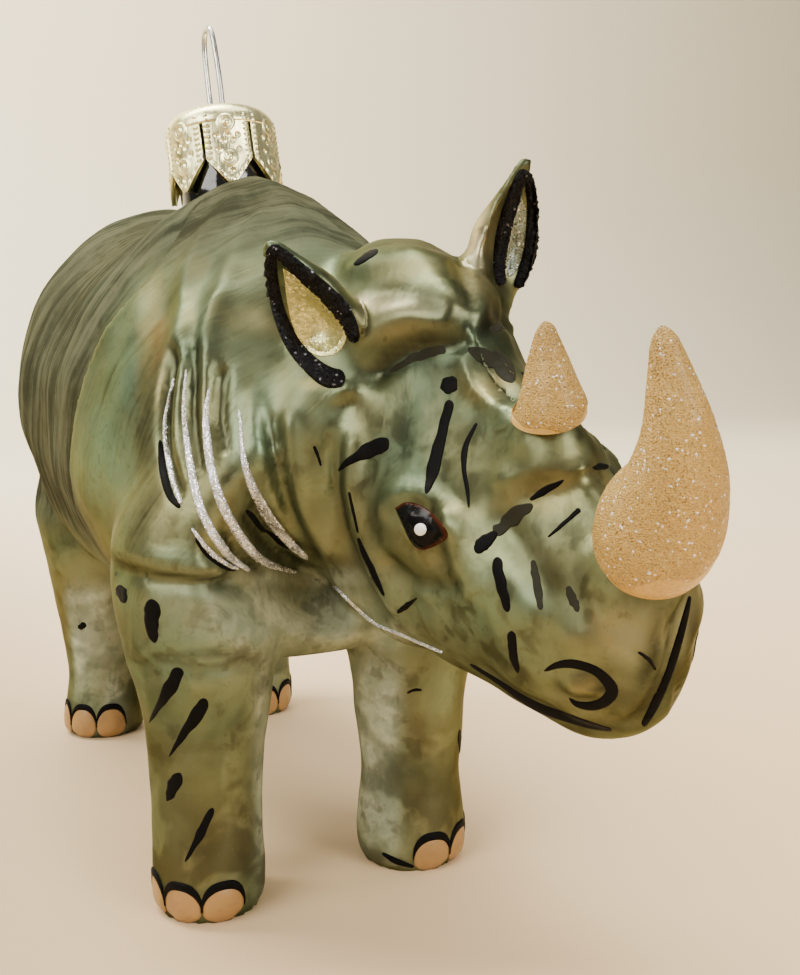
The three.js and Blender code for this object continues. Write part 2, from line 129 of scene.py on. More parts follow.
# Root and tip of the ears: forward, out, up of the poll.
EAR_ROOT = {"ear_right": (0.8, 8.6, -3.6), "ear_left": (0.8, 7.9, -2.6)}
EAR_TIP = (-3.0, 12.1, 7.4)
EAR_FACE = {"ear_right": (0.62, 0.72, 0.3), "ear_left": (0.9, 0.25, 0.3)}
EAR = [                                 # share of the length, half width, depth behind the rim, hollow
    (-0.3, 1.6, 1.4, 0), (0, 2.8, 3.0, 1.0), (0.2, 3.3, 4.2, 2.2), (0.45, 3.1, 4.0, 2.1),
    (0.7, 2.2, 2.2, 1.2), (0.9, 1.1, 1.0, 0.3), (1, 0.5, 0.5, 0),
]
EAR_RIM = 0.5
EAR_ROUND = (0.052, 0.05)               # share of an ear's length over which its root and tip round off

# ---- camera: place and turn in the drawing, focal length and centre in view points ----
VIEW_SIZE = (800, 975)
EYE_POINT = np.array([-36.454, -128.570, 51.744])
FOCAL = 1122.22
LOOK_YAW, LOOK_DOWN, LOOK_ROLL = 24.287, 6.071, 0.276
SENSOR = 36.0


def camera_axes():
    """Right, up and forward of the camera: turned by the yaw, tipped down, then rolled about forward."""
    yaw, down, roll = np.radians((LOOK_YAW, LOOK_DOWN, LOOK_ROLL))
    forward = np.array([np.sin(yaw) * np.cos(down), np.cos(yaw) * np.cos(down), -np.sin(down)])
    right = np.array([np.cos(yaw), -np.sin(yaw), 0.0])
    up = np.array([np.sin(yaw) * np.sin(down), np.cos(yaw) * np.sin(down), np.cos(down)])
    return (np.cos(roll) * right - np.sin(roll) * up, np.sin(roll) * right + np.cos(roll) * up, forward)


RIGHT, UP, FORWARD = camera_axes()


def to_view(points):
    """View place of drawing points: focal length times sideways and upward share of the depth."""
    away = points - EYE_POINT
    depth = away @ FORWARD
    across = VIEW_SIZE[0] / 2 + FOCAL * (away @ RIGHT) / depth
    down = VIEW_SIZE[1] / 2 - FOCAL * (away @ UP) / depth
    return np.stack([across, down], -1), depth


def to_rays(places):
    """Directions from the camera through view places."""
    places = np.asarray(places, float)
    side = (places[..., 0] - VIEW_SIZE[0] / 2) / FOCAL
    rise = -(places[..., 1] - VIEW_SIZE[1] / 2) / FOCAL
    rays = FORWARD + side[..., None] * RIGHT + rise[..., None] * UP
    return rays / np.linalg.norm(rays, axis=-1, keepdims=True)


# ---- numbers ----
def through(rows, at):
    """Values through rows whose first number is the position: cubic pieces with Catmull-Rom slopes."""
    rows = np.asarray(rows, float)
    at = np.atleast_1d(np.asarray(at, float))
    last = len(rows) - 1
    k = np.clip(np.searchsorted(rows[:, 0], at, side="left") - 1, 0, last - 1)
    r0, r1 = rows[k], rows[k + 1]
    before, after = rows[np.maximum(k - 1, 0)], rows[np.minimum(k + 2, last)]
    span = r1[:, :1] - r0[:, :1]
    t = np.clip((at[:, None] - r0[:, :1]) / span, 0, 1)
    m0 = (r1 - before)[:, 1:] / (r1[:, :1] - before[:, :1]) * span
    m1 = (after - r0)[:, 1:] / (after[:, :1] - r0[:, :1]) * span
    return (r0[:, 1:] * (1 + 2 * t) * (1 - t) ** 2 + m0 * t * (1 - t) ** 2
            + r1[:, 1:] * t * t * (3 - 2 * t) + m1 * t * t * (t - 1))


def rounding(distance, length):
    """How far an end has opened: a quarter circle over the length."""
    share = np.clip(np.asarray(distance, float) / length, 0, 1)
    return np.sqrt(np.maximum(1 - (1 - share) ** 2, 0))


def smooth(value, low, high):
    """0 below low, 1 above high, and a soft S between them."""
    t = np.clip((value - low) / (high - low), 0, 1)
    return t * t * (3 - 2 * t)


def unit(vectors):
    return vectors / np.maximum(np.linalg.norm(vectors, axis=-1, keepdims=True), 1e-12)


def turned(yaw, roll, pitch):
    """Turn about Z, then Y, then X, in degrees, as one matrix."""
    a, b, c = np.radians((yaw, roll, pitch))
    about_z = np.array([[np.cos(a), -np.sin(a), 0], [np.sin(a), np.cos(a), 0], [0, 0, 1]])
    about_y = np.array([[np.cos(b), 0, np.sin(b)], [0, 1, 0], [-np.sin(b), 0, np.cos(b)]])
    about_x = np.array([[1, 0, 0], [0, np.cos(c), -np.sin(c)], [0, np.sin(c), np.cos(c)]])
    return about_z @ about_y @ about_x


HEAD_MATRIX = turned(*HEAD_TURN)


def head_drift(ahead, up):
    start, end, share = LEAN_EASE
    eased = np.clip((ahead - start) / (end - start), 0, 1)
    return HEAD_LEAN * (1 - (1 - share) * eased) * np.minimum(up + 2, 0)


def on_head(forward, left, up):
    """Drawing point of a place forward, left and up of the poll."""
    local = np.stack(np.broadcast_arrays(left + head_drift(np.asarray(forward), up), -forward, up), -1)
    return local @ HEAD_MATRIX.T + HEAD_SEAT


def off_head(points):
    """Forward, left and up of the poll, with the lean taken out."""
    local = (points - HEAD_SEAT) @ HEAD_MATRIX
    return -local[..., 1], local[..., 0] - head_drift(-local[..., 1], local[..., 2]), local[..., 2]


# ---- meshes ----
def closed_rows(rings, first, last):
    """Vertices and faces of rings (n, m, 3) closed by a point at each end."""
    n, m, _ = rings.shape
    points = np.concatenate([rings.reshape(-1, 3), first[None], last[None]])
    i = np.arange(n - 1)[:, None] * m
    j = np.arange(m)[None]
    k = (j + 1) % m
    quads = np.stack([i + j, i + k, i + m + k, i + m + j], -1).reshape(-1, 4)
    j, k = j[0], k[0]
    start = np.stack([k, j, np.full(m, n * m)], -1)
    end = np.stack([(n - 1) * m + j, (n - 1) * m + k, np.full(m, n * m + 1)], -1)
    return outward(points, [quads, start, end])


def outward(points, groups):
    """The faces, turned round where the enclosed volume comes out negative."""
    volume = 0.0
    for faces in groups:
        for k in range(1, faces.shape[1] - 1):
            a, b, c = points[faces[:, 0]], points[faces[:, k]], points[faces[:, k + 1]]
            volume += np.einsum("ij,ij->", a, np.cross(b, c))
    return points, [faces[:, ::-1] for faces in groups] if volume < 0 else groups


def joined(shapes):
    """Several (points, faces) put into one."""
    points, groups, base = [], [], 0
    for place, faces in shapes:
        points.append(place)
        groups += [group + base for group in faces]
        base += len(place)
    return np.concatenate(points), groups


def mesh_of(name, points, groups):
    """A smooth-shaded mesh from points and groups of equal-sided faces."""
    mesh = bpy.data.meshes.new(name)
    loops = np.concatenate([group.reshape(-1) for group in groups]).astype(np.int32)
    sizes = np.concatenate([np.full(len(group), group.shape[1], np.int32) for group in groups])
    mesh.vertices.add(len(points))
    mesh.vertices.foreach_set("co", points.astype(np.float32).reshape(-1))
    mesh.loops.add(len(loops))
    mesh.loops.foreach_set("vertex_index", loops)
    mesh.polygons.add(len(sizes))
    mesh.polygons.foreach_set("loop_start", np.concatenate([[0], np.cumsum(sizes)[:-1]]).astype(np.int32))
    mesh.polygons.foreach_set("use_smooth", np.ones(len(sizes), bool))
    mesh.update(calc_edges=True)
    mesh.validate()
    return mesh


def piece(name, points, groups, material, slot):
    """A finished piece in the row frame, riding on the part's one body."""
    obj = bpy.data.objects.new(name, mesh_of(name, (points + SET_DOWN) * MM, groups))
    bpy.context.scene.collection.objects.link(obj)
    obj.data.materials.append(material)
    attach(obj, "root")
    return obj


# ---- forms ----
def loft(rows, ends, sides, rings, floor_shape=0.85):
    """Egg-shaped rings along one axis: side = width * cos^p, up = middle + height * sin, closed by
    quarter circles. Gives along, side and up of the rings and of the two end points."""
    first, last = rows[0][0], rows[-1][0]
    share = np.arange(1, rings) / rings
    along = first + (last - first) * (1 - np.cos(np.pi * share)) / 2
    wide, high, low, widest, roof = through(rows, along).T[..., None]
    opening = (rounding(along - first, ends[0]) * rounding(last - along, ends[1]))[:, None]
    angle = 2 * np.pi * np.arange(sides) / sides
    c, s = np.cos(angle)[None], np.sin(angle)[None]
    side = wide * np.sign(c) * np.abs(c) ** np.where(s > 0, roof, floor_shape) * opening
    up = widest + np.where(s > 0, high - widest, widest - low) * s * opening
    return (np.broadcast_to(along[:, None], side.shape), side, up), ((first, 0.0, rows[0][4]), (last, 0.0, rows[-1][4]))


def body_shape(rows, ends, place, sides, rings, floor_shape=0.85):
    grid, (start, end) = loft(rows, ends, sides, rings, floor_shape)
    return closed_rows(place(*grid), place(*start), place(*end))


def hollowed(x, y, z):
    """Y of a point of the chest: not further forward than the hollow under the jaw allows."""
    middle, level, wide, tall, front, depth = CHEST
    return np.maximum(y, front + depth * np.exp(-((x - middle) / wide) ** 2 - ((z - level) / tall) ** 2))


def on_torso(along, side, up):
    return np.stack(np.broadcast_arrays(side, hollowed(side, along, up), up), -1).astype(float)


NECK_WAY = unit(NECK_TO - NECK_FROM)
NECK_SIDE = unit(-np.cross((0.0, 0.0, 1.0), NECK_WAY))
NECK_UP = unit(np.cross(NECK_SIDE, NECK_WAY))


def on_neck(along, side, up):
    along, side, up = (np.asarray(value, float)[..., None] for value in (along, side, up))
    return NECK_FROM + along * NECK_WAY - side * NECK_SIDE + up * NECK_UP


def leg_shape(x, y, rows, sides=48, rings=70):
    """Ellipses up a leg whose middle moves in to the body; the foot is cut flat at the sole."""
    foot = SOLE_LEVEL - SOLE_DEPTH
    z = foot + (LEG_TOP - foot) * (np.arange(1, rings) / rings) ** 1.3
    half_x, half_y, inward = through(rows, z).T[..., None]
    opening = (rounding(z - foot, 2.4) * rounding(LEG_TOP - z, 3))[:, None]
    angle = 2 * np.pi * np.arange(sides)[None] / sides
    middle = x - np.sign(x) * inward
    across, level = middle + half_x * opening * np.cos(angle), np.maximum(z, SOLE_LEVEL)[:, None]
    along = hollowed(across, y + half_y * opening * np.sin(angle), level)
    rings_at = np.stack(np.broadcast_arrays(across, along, level), -1)
    top = np.array([x - np.sign(x) * rows[-1][3], y, LEG_TOP])
    return closed_rows(rings_at, np.array([x, y, SOLE_LEVEL]), top)


def smooth_line(points, count):
    """count points along a Catmull-Rom line, evenly shared between the given points."""
    points = np.asarray(points, float)
    rows = np.column_stack([np.linspace(0, 1, len(points)), points])
    return through(rows, np.linspace(0, 1, count))


def tube_shape(line, radii, sides=24):
    """A round tube along a line: circles across it, with the start and end closed by a point."""
    way = unit(np.gradient(line, axis=0))
    level = np.array([0.0, 0.0, 1.0]) if abs(way[len(way) // 2, 2]) < 0.9 else np.array([1.0, 0.0, 0.0])
    one = unit(np.cross(way, level))
    two = np.cross(way, one)
    angle = 2 * np.pi * np.arange(sides) / sides
    ring = (np.cos(angle)[None, :, None] * one[:, None] + np.sin(angle)[None, :, None] * two[:, None])
    rings = line[:, None] + ring * np.asarray(radii, float)[:, None, None]
    return closed_rows(rings[1:-1], line[0], line[-1])


def tail_shape():
    line = smooth_line([row[:3] for row in TAIL], 60)
    share = np.linspace(0, 1, len(line))
    radii = through([(i / (len(TAIL) - 1), row[3]) for i, row in enumerate(TAIL)], share)[:, 0]
    return tube_shape(line, radii * rounding(share, 0.05) * rounding(1 - share, 0.06))


def ear_axes(name):
    """Root, length, width and outward directions of an ear, in the head's own axes."""
    sign = 1.0 if name == "ear_left" else -1.0
    root, tip, face = (np.array([sign * left, -ahead, up]) for ahead, left, up in (EAR_ROOT[name], EAR_TIP, EAR_FACE[name]))
    axis = tip - root
    wide = unit(np.cross(axis, face))
    return root, axis, wide, unit(np.cross(wide, axis))


def ear_point(name, share, angle, lift=0.0):
    """A point of an ear: half width times cos, and behind the rim its depth times sin; in front the rim
    rises by a sine and the hollow sinks by its square. lift moves it out of the open side."""
    root, axis, wide, out = ear_axes(name)
    share, angle = np.broadcast_arrays(np.asarray(share, float), np.asarray(angle, float))
    half, thick, hollow = (value.reshape(share.shape) for value in through(EAR, share.reshape(-1)).T)
    opening = rounding(share - EAR[0][0], EAR_ROUND[0]) * rounding(1 - share, EAR_ROUND[1])
    c, s = np.cos(angle), np.sin(angle)
    bulge = np.where(s > 0, EAR_RIM * s - hollow * s * s, thick * s) * opening + lift
    local = root + share[..., None] * axis + (half * c * opening)[..., None] * wide + bulge[..., None] * out
    return local @ HEAD_MATRIX.T + HEAD_SEAT


def ear_shape(name, sides=64, rings=60):
    share = EAR[0][0] + (1 - EAR[0][0]) * (1 - np.cos(np.pi * np.arange(1, rings) / rings)) / 2
    angle = 2 * np.pi * np.arange(sides) / sides
    root, axis, _, _ = ear_axes(name)
    ends = [(root + end * axis) @ HEAD_MATRIX.T + HEAD_SEAT for end in (EAR[0][0], 1.0)]
    return closed_rows(ear_point(name, share[:, None], angle[None]), *ends)


def horn_rings(rows, share, angle, swell=0.0):
    """Circles across the horn's bent middle line, with the radius of its rows."""
    line_rows = np.array([(left, -ahead, up) for ahead, left, up, _ in rows], float)
    knots = np.linspace(0, 1, len(rows))
    middle = through(np.column_stack([knots, line_rows]), share)
    step = 1e-3
    way = unit(through(np.column_stack([knots, line_rows]), np.minimum(share + step, 1))
               - through(np.column_stack([knots, line_rows]), np.maximum(share - step, 0)))
    radius = through([(k, row[3]) for k, row in zip(knots, rows)], share)[:, 0]
    across = np.array([1.0, 0.0, 0.0])
    normal = unit(np.cross(way, across))
    opening = rounding(share, HORN_ROUND[0]) * rounding(1 - share, HORN_ROUND[1])
    size = np.maximum(radius * opening - HORN_INSET, 0)[:, None] + swell
    local = (middle[:, None] + (size * np.cos(angle))[..., None] * across
             + (size * np.sin(angle))[..., None] * normal[:, None])
    return local @ HEAD_MATRIX.T + HEAD_SEAT


# ---- the skin: forms joined, remeshed, relaxed in their creases and given folds ----
# Folds of the glass: view line, width in view points, height in mm, and the parts that carry it.
# A ridge has one soft crest; a step stands proud on the left of its line's direction and drops on the right.
RIDGES = [
    ("forehead crease", [(459, 269), (463, 300), (463, 337)], 7, -0.75, "head"),
    ("right brow", [(380, 330), (415, 318), (450, 322)], 26, 1.0, "head"),
    ("right brow hollow", [(372, 372), (400, 352), (430, 343), (454, 342)], 13, -1.15, "head"),
    ("left brow", [(478, 318), (488, 340)], 13, 0.75, "head"),
    ("gold ridge", [(466, 362), (474, 382), (486, 396), (508, 414)], 8, 0.75, "head"),
    ("horn saddle", [(478, 350), (492, 372), (506, 392)], 13, -0.7, "head"),
    ("crown", [(352, 268), (400, 256), (452, 258), (482, 268)], 10, 0.45, "head"),
    ("ear fold", [(300, 376), (312, 388), (328, 395), (348, 391)], 5, 0.9, "head"),
    ("ear fold shade", [(296, 388), (312, 402), (332, 408), (352, 402)], 6, -0.6, "head"),
    ("cheek ridge", [(352, 440), (352, 490), (360, 535), (376, 575), (395, 604)], 9, 0.7, "head"),
    ("cheek hollow", [(334, 440), (338, 500), (350, 545), (366, 585), (384, 615)], 8, -0.55, "head"),
    ("outer cheek", [(322, 440), (322, 500), (334, 556), (352, 598)], 9, 0.55, "head"),
    ("lower lid", [(388, 560), (412, 580), (440, 588), (462, 584)], 6, -0.6, "head"),
    ("upper lid", [(382, 512), (398, 494), (424, 492), (446, 508), (458, 530)], 6, 0.6, "head"),
    ("cheek bone", [(452, 520), (462, 552), (470, 590)], 15, 0.7, "head"),
    ("snout hollow", [(500, 520), (520, 548), (545, 590)], 16, -0.5, "head"),
    ("snout ridge", [(505, 480), (540, 470), (575, 470)], 12, 0.6, "head"),
    ("nose bulge", [(575, 640), (610, 640), (640, 646)], 17, 0.55, "head"),
    ("nostril", [(556, 690), (572, 700), (592, 702)], 8, -0.35, "head"),
    ("nostril bump", [(572, 686), (590, 684)], 9, 0.75, "head"),
    ("lip groove", [(694, 590), (683, 618), (676, 652), (664, 678), (649, 710), (634, 722)], 5, -0.8, "head"),
    ("mouth groove", [(482, 669), (511, 690), (546, 710), (575, 726), (610, 734)], 4.5, -0.5, "head"),
    ("neck fold 1", [(290, 420), (296, 470), (308, 520), (330, 560)], 9, 0.7, "neck"),
    ("neck groove 1", [(272, 420), (280, 470), (294, 518), (316, 556)], 6, -0.6, "neck"),
    ("neck fold 2", [(252, 400), (258, 455), (276, 505), (302, 545)], 8, 0.6, "neck"),
    ("stripe groove 1", [(174, 350), (164, 425), (171, 472), (186, 508), (209, 551), (239, 570)], 4.5, -0.9, "trunk"),
    ("stripe groove 2", [(195, 350), (193, 412), (200, 468), (212, 506), (235, 549), (262, 571)], 4.5, -0.9, "trunk"),
    ("stripe groove 3", [(222, 372), (220, 419), (228, 470), (245, 515), (272, 550), (304, 570)], 4.5, -0.9, "trunk"),
    ("stripe fold 1", [(183, 370), (176, 425), (184, 470), (199, 508), (222, 550)], 5, 0.5, "trunk"),
    ("stripe fold 2", [(207, 370), (205, 420), (213, 470), (229, 512), (254, 552)], 5, 0.5, "trunk"),
    ("shoulder crease", [(252, 495), (270, 530), (295, 548)], 5, -0.9, "trunk"),
    ("plate notch", [(196, 500), (206, 512), (222, 520)], 6, -0.7, "trunk"),
    ("plate seam", [(114, 561), (132, 568), (157, 575), (183, 580), (210, 582), (227, 582), (238, 572)], 4.5, -0.9, "fore"),
    ("sleeve seam", [(154, 655), (178, 655), (200, 654), (225, 656), (249, 659)], 4, -0.7, "fore"),
    ("hump fold 1", [(236, 200), (206, 240), (186, 290), (176, 350)], 8, 0.5, "torso"),
    ("hump fold 2", [(262, 214), (234, 262), (214, 312), (204, 360)], 8, 0.4, "torso"),
]
STEPS = [
    ("plate edge", [(234, 577), (191, 580), (142, 574), (94, 558), (76, 536)], 15, 1.9, "fore"),
    ("leg sleeve", [(252, 661), (205, 664), (142, 658)], 11, 1.5, "fore"),
    ("plate rear", [(74, 500), (74, 440), (84, 385), (106, 334), (146, 282), (186, 224)], 20, 2.2, "torso"),
]
STEP_RISE = 0.4             # share of a step that stands up; the rest sinks behind it
RIDGE_GAIN = 1.15           # all ridges are drawn this much taller
FAR_GAIN = 0.5              # and those of the head this much of it on its other side
WIDE_FADE = 26              # how softly a fold ends along its line, in view points


def line_distance(places, line):
    """Signed distance of view places to a bent line, and how far past its ends they lie."""
    line = smooth_line(line, 24)
    best = np.full(len(places), 1e9)
    sided, past = np.zeros(len(places)), np.zeros(len(places))
    for start, end in zip(line[:-1], line[1:]):
        way = end - start
        size = np.linalg.norm(way)
        away = places - start
        share = away @ way / size ** 2
        near = start + np.clip(share, 0, 1)[:, None] * way
        gap = np.linalg.norm(places - near, axis=1)
        side = np.sign(way[0] * away[:, 1] - way[1] * away[:, 0])
        closer = gap < best
        best = np.where(closer, gap, best)
        sided = np.where(closer, side, sided)
        past = np.where(closer, np.maximum(np.maximum(-share, share - 1), 0) * size, past)
    return best * np.where(sided == 0, 1, sided), past


def inside_form(points, rows, frame_of, ends, floor_shape=0.85):
    """How far out a point lies in a body: 1 on its surface, less inside."""
    along, side, up = frame_of(points)
    first, last = rows[0][0], rows[-1][0]
    wide, high, low, widest, roof = through(rows, np.clip(along, first, last)).T
    opening = np.maximum(rounding(along - first, ends[0]) * rounding(last - along, ends[1]), 1e-3)
    rise = (up - widest) / (np.where(up > widest, high - widest, widest - low) * opening)
    shape = np.where(up > widest, roof, floor_shape)
    reach = (np.abs(side) / (wide * opening)) ** (1 / shape)
    return np.hypot(rise, reach)


def neck_frame(points):
    away = points - NECK_FROM
    return away @ NECK_WAY, -(away @ NECK_SIDE), away @ NECK_UP


def torso_frame(points):
    return points[:, 1], points[:, 0], points[:, 2]


def part_shares(points):
    """Soft masks of head, neck, trunk and foreleg, from which form the point lies closest to."""
    head = inside_form(points, HEAD, off_head, HEAD_ENDS, 0.8)
    neck = inside_form(points, NECK, neck_frame, NECK_ENDS)
    torso = inside_form(points, TORSO, torso_frame, TORSO_ENDS)
    rank = np.stack([np.abs(head - 1), np.abs(neck - 1), np.abs(torso - 1)])
    least = rank.min(0)
    is_head = smooth(0.12 - (rank[0] - least), 0.0, 0.1)
    is_neck = smooth(0.2 - (rank[1] - least), 0.0, 0.15)
    is_torso = smooth(0.2 - (rank[2] - least), 0.0, 0.15)
    low = 1 - smooth(points[:, 2], 22, 26)
    is_head = is_head * (1 - low)
    everywhere = np.ones(len(points))
    return {
        "head": is_head, "neck": is_neck * (1 - is_head), "torso": is_torso * (1 - is_head),
        "trunk": np.maximum(is_neck, is_torso) * (1 - is_head), "fore": everywhere * (1 - is_head),
    }


def reflected(points, normals, about):
    """Points and normals seen in the animal's middle plane, or in the middle plane of its head."""
    if about == "body":
        turn = np.array([-1.0, 1.0, 1.0])
        return points * turn, normals * turn
    ahead, left, up = off_head(points)
    flat = normals @ HEAD_MATRIX
    return on_head(ahead, -left, up), (flat * np.array([-1.0, 1.0, 1.0])) @ HEAD_MATRIX.T


def fold_heights(points, normals, shares):
    """Height that all folds add at each point: a bell across each ridge, a falling edge across each step,
    faded along the line's ends and where the surface turns away from the camera; also the painted shade along sunken
    ridges and just below each step."""
    height, shade = np.zeros(len(points)), np.zeros(len(points))
    for about in ("none", "mirror"):
        for kind, folds in (("ridge", RIDGES), ("step", STEPS)):
            for _, line, width, tall, carrier in folds:
                seen, faced = points, normals
                if about == "mirror":
                    seen, faced = reflected(points, normals, "head" if carrier == "head" else "body")
                places, depth = to_view(seen)
                facing = smooth(np.einsum("ij,ij->i", faced, unit(EYE_POINT - seen)), 0.02, 0.3)
                box = np.array(line)
                reach = 4 * width + 30
                near = np.where(np.all((places > box.min(0) - reach) & (places < box.max(0) + reach), 1) & (facing > 0)
                                & (shares[carrier] > 0))[0]
                if about == "mirror" and carrier != "head":
                    near = near[points[near, 0] > 0]
                if about == "none" and carrier != "head":
                    near = near[points[near, 0] < 4]
                gap, past = line_distance(places[near], line)
                if kind == "ridge":
                    bell = np.exp(-(gap / width) ** 2)
                else:
                    risen = smooth(gap, -3, 4)
                    bell = (STEP_RISE * risen - (1 - STEP_RISE) * (1 - risen)) * np.exp(-np.abs(gap) / width)
                amount = bell * np.exp(-(past / WIDE_FADE) ** 2) * facing[near] * shares[carrier][near]
                gain = FAR_GAIN if about == "mirror" and carrier == "head" else 1.0
                height[near] += tall * amount * gain * (RIDGE_GAIN if kind == "ridge" else 1)
                # painted shade: a sunken ridge darkens the colour along its line, a step just below its edge
                if kind == "ridge" and tall < 0:
                    shade[near] = np.maximum(shade[near], amount * min(-tall, 1))
                if kind == "step":
                    under = smooth(-gap, -1.0, 2.0) * np.exp(-np.maximum(-gap, 0) / 5)
                    shade[near] = np.maximum(shade[near], under * facing[near] * shares[carrier][near]
                                             * np.exp(-(past / WIDE_FADE) ** 2))
    return height, shade


def vertex_normals(points, quads):
    across = np.cross(points[quads[:, 2]] - points[quads[:, 0]], points[quads[:, 3]] - points[quads[:, 1]])
    total = np.stack([
        np.bincount(quads.reshape(-1), np.repeat(across[:, k], 4), len(points)) for k in range(3)
    ], -1)
    return unit(total)


def side_pairs(quads):
    pairs = np.concatenate([quads[:, [0, 1]], quads[:, [1, 2]], quads[:, [2, 3]], quads[:, [3, 0]]])
    return np.unique(np.sort(pairs, 1), axis=0)


def neighbour_mean(points, pairs):
    count = np.bincount(pairs.reshape(-1), minlength=len(points))
    total = np.stack([
        np.bincount(pairs[:, 0], points[pairs[:, 1], k], len(points))
        + np.bincount(pairs[:, 1], points[pairs[:, 0], k], len(points)) for k in range(points.shape[1])
    ], -1)
    return total / count[:, None]


def relaxed(points, quads, pairs, rounds, share, hollows_only=False):
    """Each point moves a share of the way to the mean of its neighbours; with hollows_only, only where
    that lies outside the surface, so creases fill and rounded forms keep their size."""
    for _ in range(rounds):
        step = neighbour_mean(points, pairs) - points
        if hollows_only:
            outside = np.einsum("ij,ij->i", step, vertex_normals(points, quads)) > 0.004
            step = step * outside[:, None]
        points = points + share * step
    return points


def remeshed(points, groups, grain):
    """One closed skin of small quads round overlapping closed forms."""
    draft = bpy.data.objects.new("forms", mesh_of("forms", points, groups))
    bpy.context.scene.collection.objects.link(draft)
    wrap = draft.modifiers.new("wrap", "REMESH")
    wrap.mode, wrap.voxel_size, wrap.adaptivity = "VOXEL", grain, 0.0
    graph = bpy.context.evaluated_depsgraph_get()
    mesh = draft.evaluated_get(graph).to_mesh()
    place = np.empty(len(mesh.vertices) * 3, np.float32)
    mesh.vertices.foreach_get("co", place)
    corners = np.empty(len(mesh.loops), np.int32)
    mesh.loops.foreach_get("vertex_index", corners)
    if len(corners) != 4 * len(mesh.polygons):
        raise RuntimeError("the remeshed skin has faces that are not quads")
    draft.evaluated_get(graph).to_mesh_clear()
    shape = draft.data
    bpy.data.objects.remove(draft)
    bpy.data.meshes.remove(shape)
    place, corners = place.reshape(-1, 3).astype(float), corners.reshape(-1, 4).astype(int)
    return outward(place, [corners])[0], outward(place, [corners])[1][0]


def ball_shape(middle, radius):
    """A ball: rings of the sine of the polar angle, at heights of its cosine."""
    polar = np.pi * np.arange(1, 24)[:, None] / 24
    turn = 2 * np.pi * np.arange(40)[None] / 40
    rings = np.stack([np.sin(polar) * np.cos(turn), np.sin(polar) * np.sin(turn), np.cos(polar) + 0 * turn], -1)
    pole = np.array([0.0, 0.0, radius])
    return closed_rows(middle + radius * rings, middle + pole, middle - pole)


def on_ear(points, name):
    """1 on an ear, 0 from its root down."""
    root, axis, _, _ = ear_axes(name)
    away = (points - HEAD_SEAT) @ HEAD_MATRIX - root
    share = away @ axis / (axis @ axis)
    aside = np.linalg.norm(away - share[:, None] * axis, axis=1)
    return smooth(share, 0.0, 0.16) * (1 - smooth(aside, 4.6, 5.6)) * (share < 1.1)


def crisp(points):
    """1 where creases stay sharp: on the ears, and mostly so where the jaw stands clear of the chest."""
    ahead, _, up = off_head(points)
    jaw = smooth(-up, 15, 20) * smooth(ahead, -10, -2) * (1 - smooth(ahead, 26, 32)) * smooth(points[:, 2], 18, 24)
    return np.maximum(np.maximum(on_ear(points, "ear_right"), on_ear(points, "ear_left")), 0.9 * jaw)


def lumps(points, seed, count, size, tall):
    """Gentle unevenness of blown glass: a sum of sines in random directions, about tall high and size long."""
    draw = np.random.default_rng(seed)
    ways = unit(draw.normal(size=(count, 3))) * 2 * np.pi / (size * draw.uniform(0.7, 1.4, (count, 1)))
    return tall * np.sin(points @ ways.T + draw.uniform(0, 2 * np.pi, count)).sum(1) / np.sqrt(count)


def skin_surface(grain):
    """Points and quads of the whole animal, the painted shade of its folds at each point, and the shares of its parts.
    """
    shapes = [
        body_shape(TORSO, TORSO_ENDS, on_torso, 96, 90), body_shape(NECK, NECK_ENDS, on_neck, 80, 44),
        body_shape(HEAD, HEAD_ENDS, on_head, 96, 80, 0.8), tail_shape(),
        ear_shape("ear_right"), ear_shape("ear_left"),
    ]
    shapes += [leg_shape(x, y, rows) for x, y, rows in LEGS.values()]
    shapes += [ball_shape(on_head(ahead, left, up), radius) for ahead, left, up, radius in SEATS]
    points, quads = remeshed(*joined(shapes), grain)
    pairs = side_pairs(quads)
    points = relaxed(points, quads, pairs, 2, 0.5)
    loose = 1 - crisp(points)[:, None]
    points = relaxed(points, quads, pairs, 34, 0.55 * loose, hollows_only=True)
    points = relaxed(points, quads, pairs, 2, 0.5 * loose)
    normals = vertex_normals(points, quads)
    shares = part_shares(points)
    height, shade = fold_heights(points, normals, shares)
    bumps = lumps(points, 4, 14, 11.0, 0.14) + lumps(points, 6, 14, 4.5, 0.05) * (1 - 0.5 * smooth(points[:, 1], -16, -8))
    height = neighbour_mean(height[:, None], pairs)[:, 0] + bumps
    near_sole = points[:, 2] < SOLE_LEVEL + 0.35
    points = points + np.where(near_sole, 0, height)[:, None] * normals
    points[:, 2] = np.where(near_sole, SOLE_LEVEL, np.maximum(points[:, 2], SOLE_LEVEL))
    low, high = (np.array(corner) / MM - SET_DOWN for corner in CAD_BOX)
    return np.clip(points, low, high), quads, shade, shares


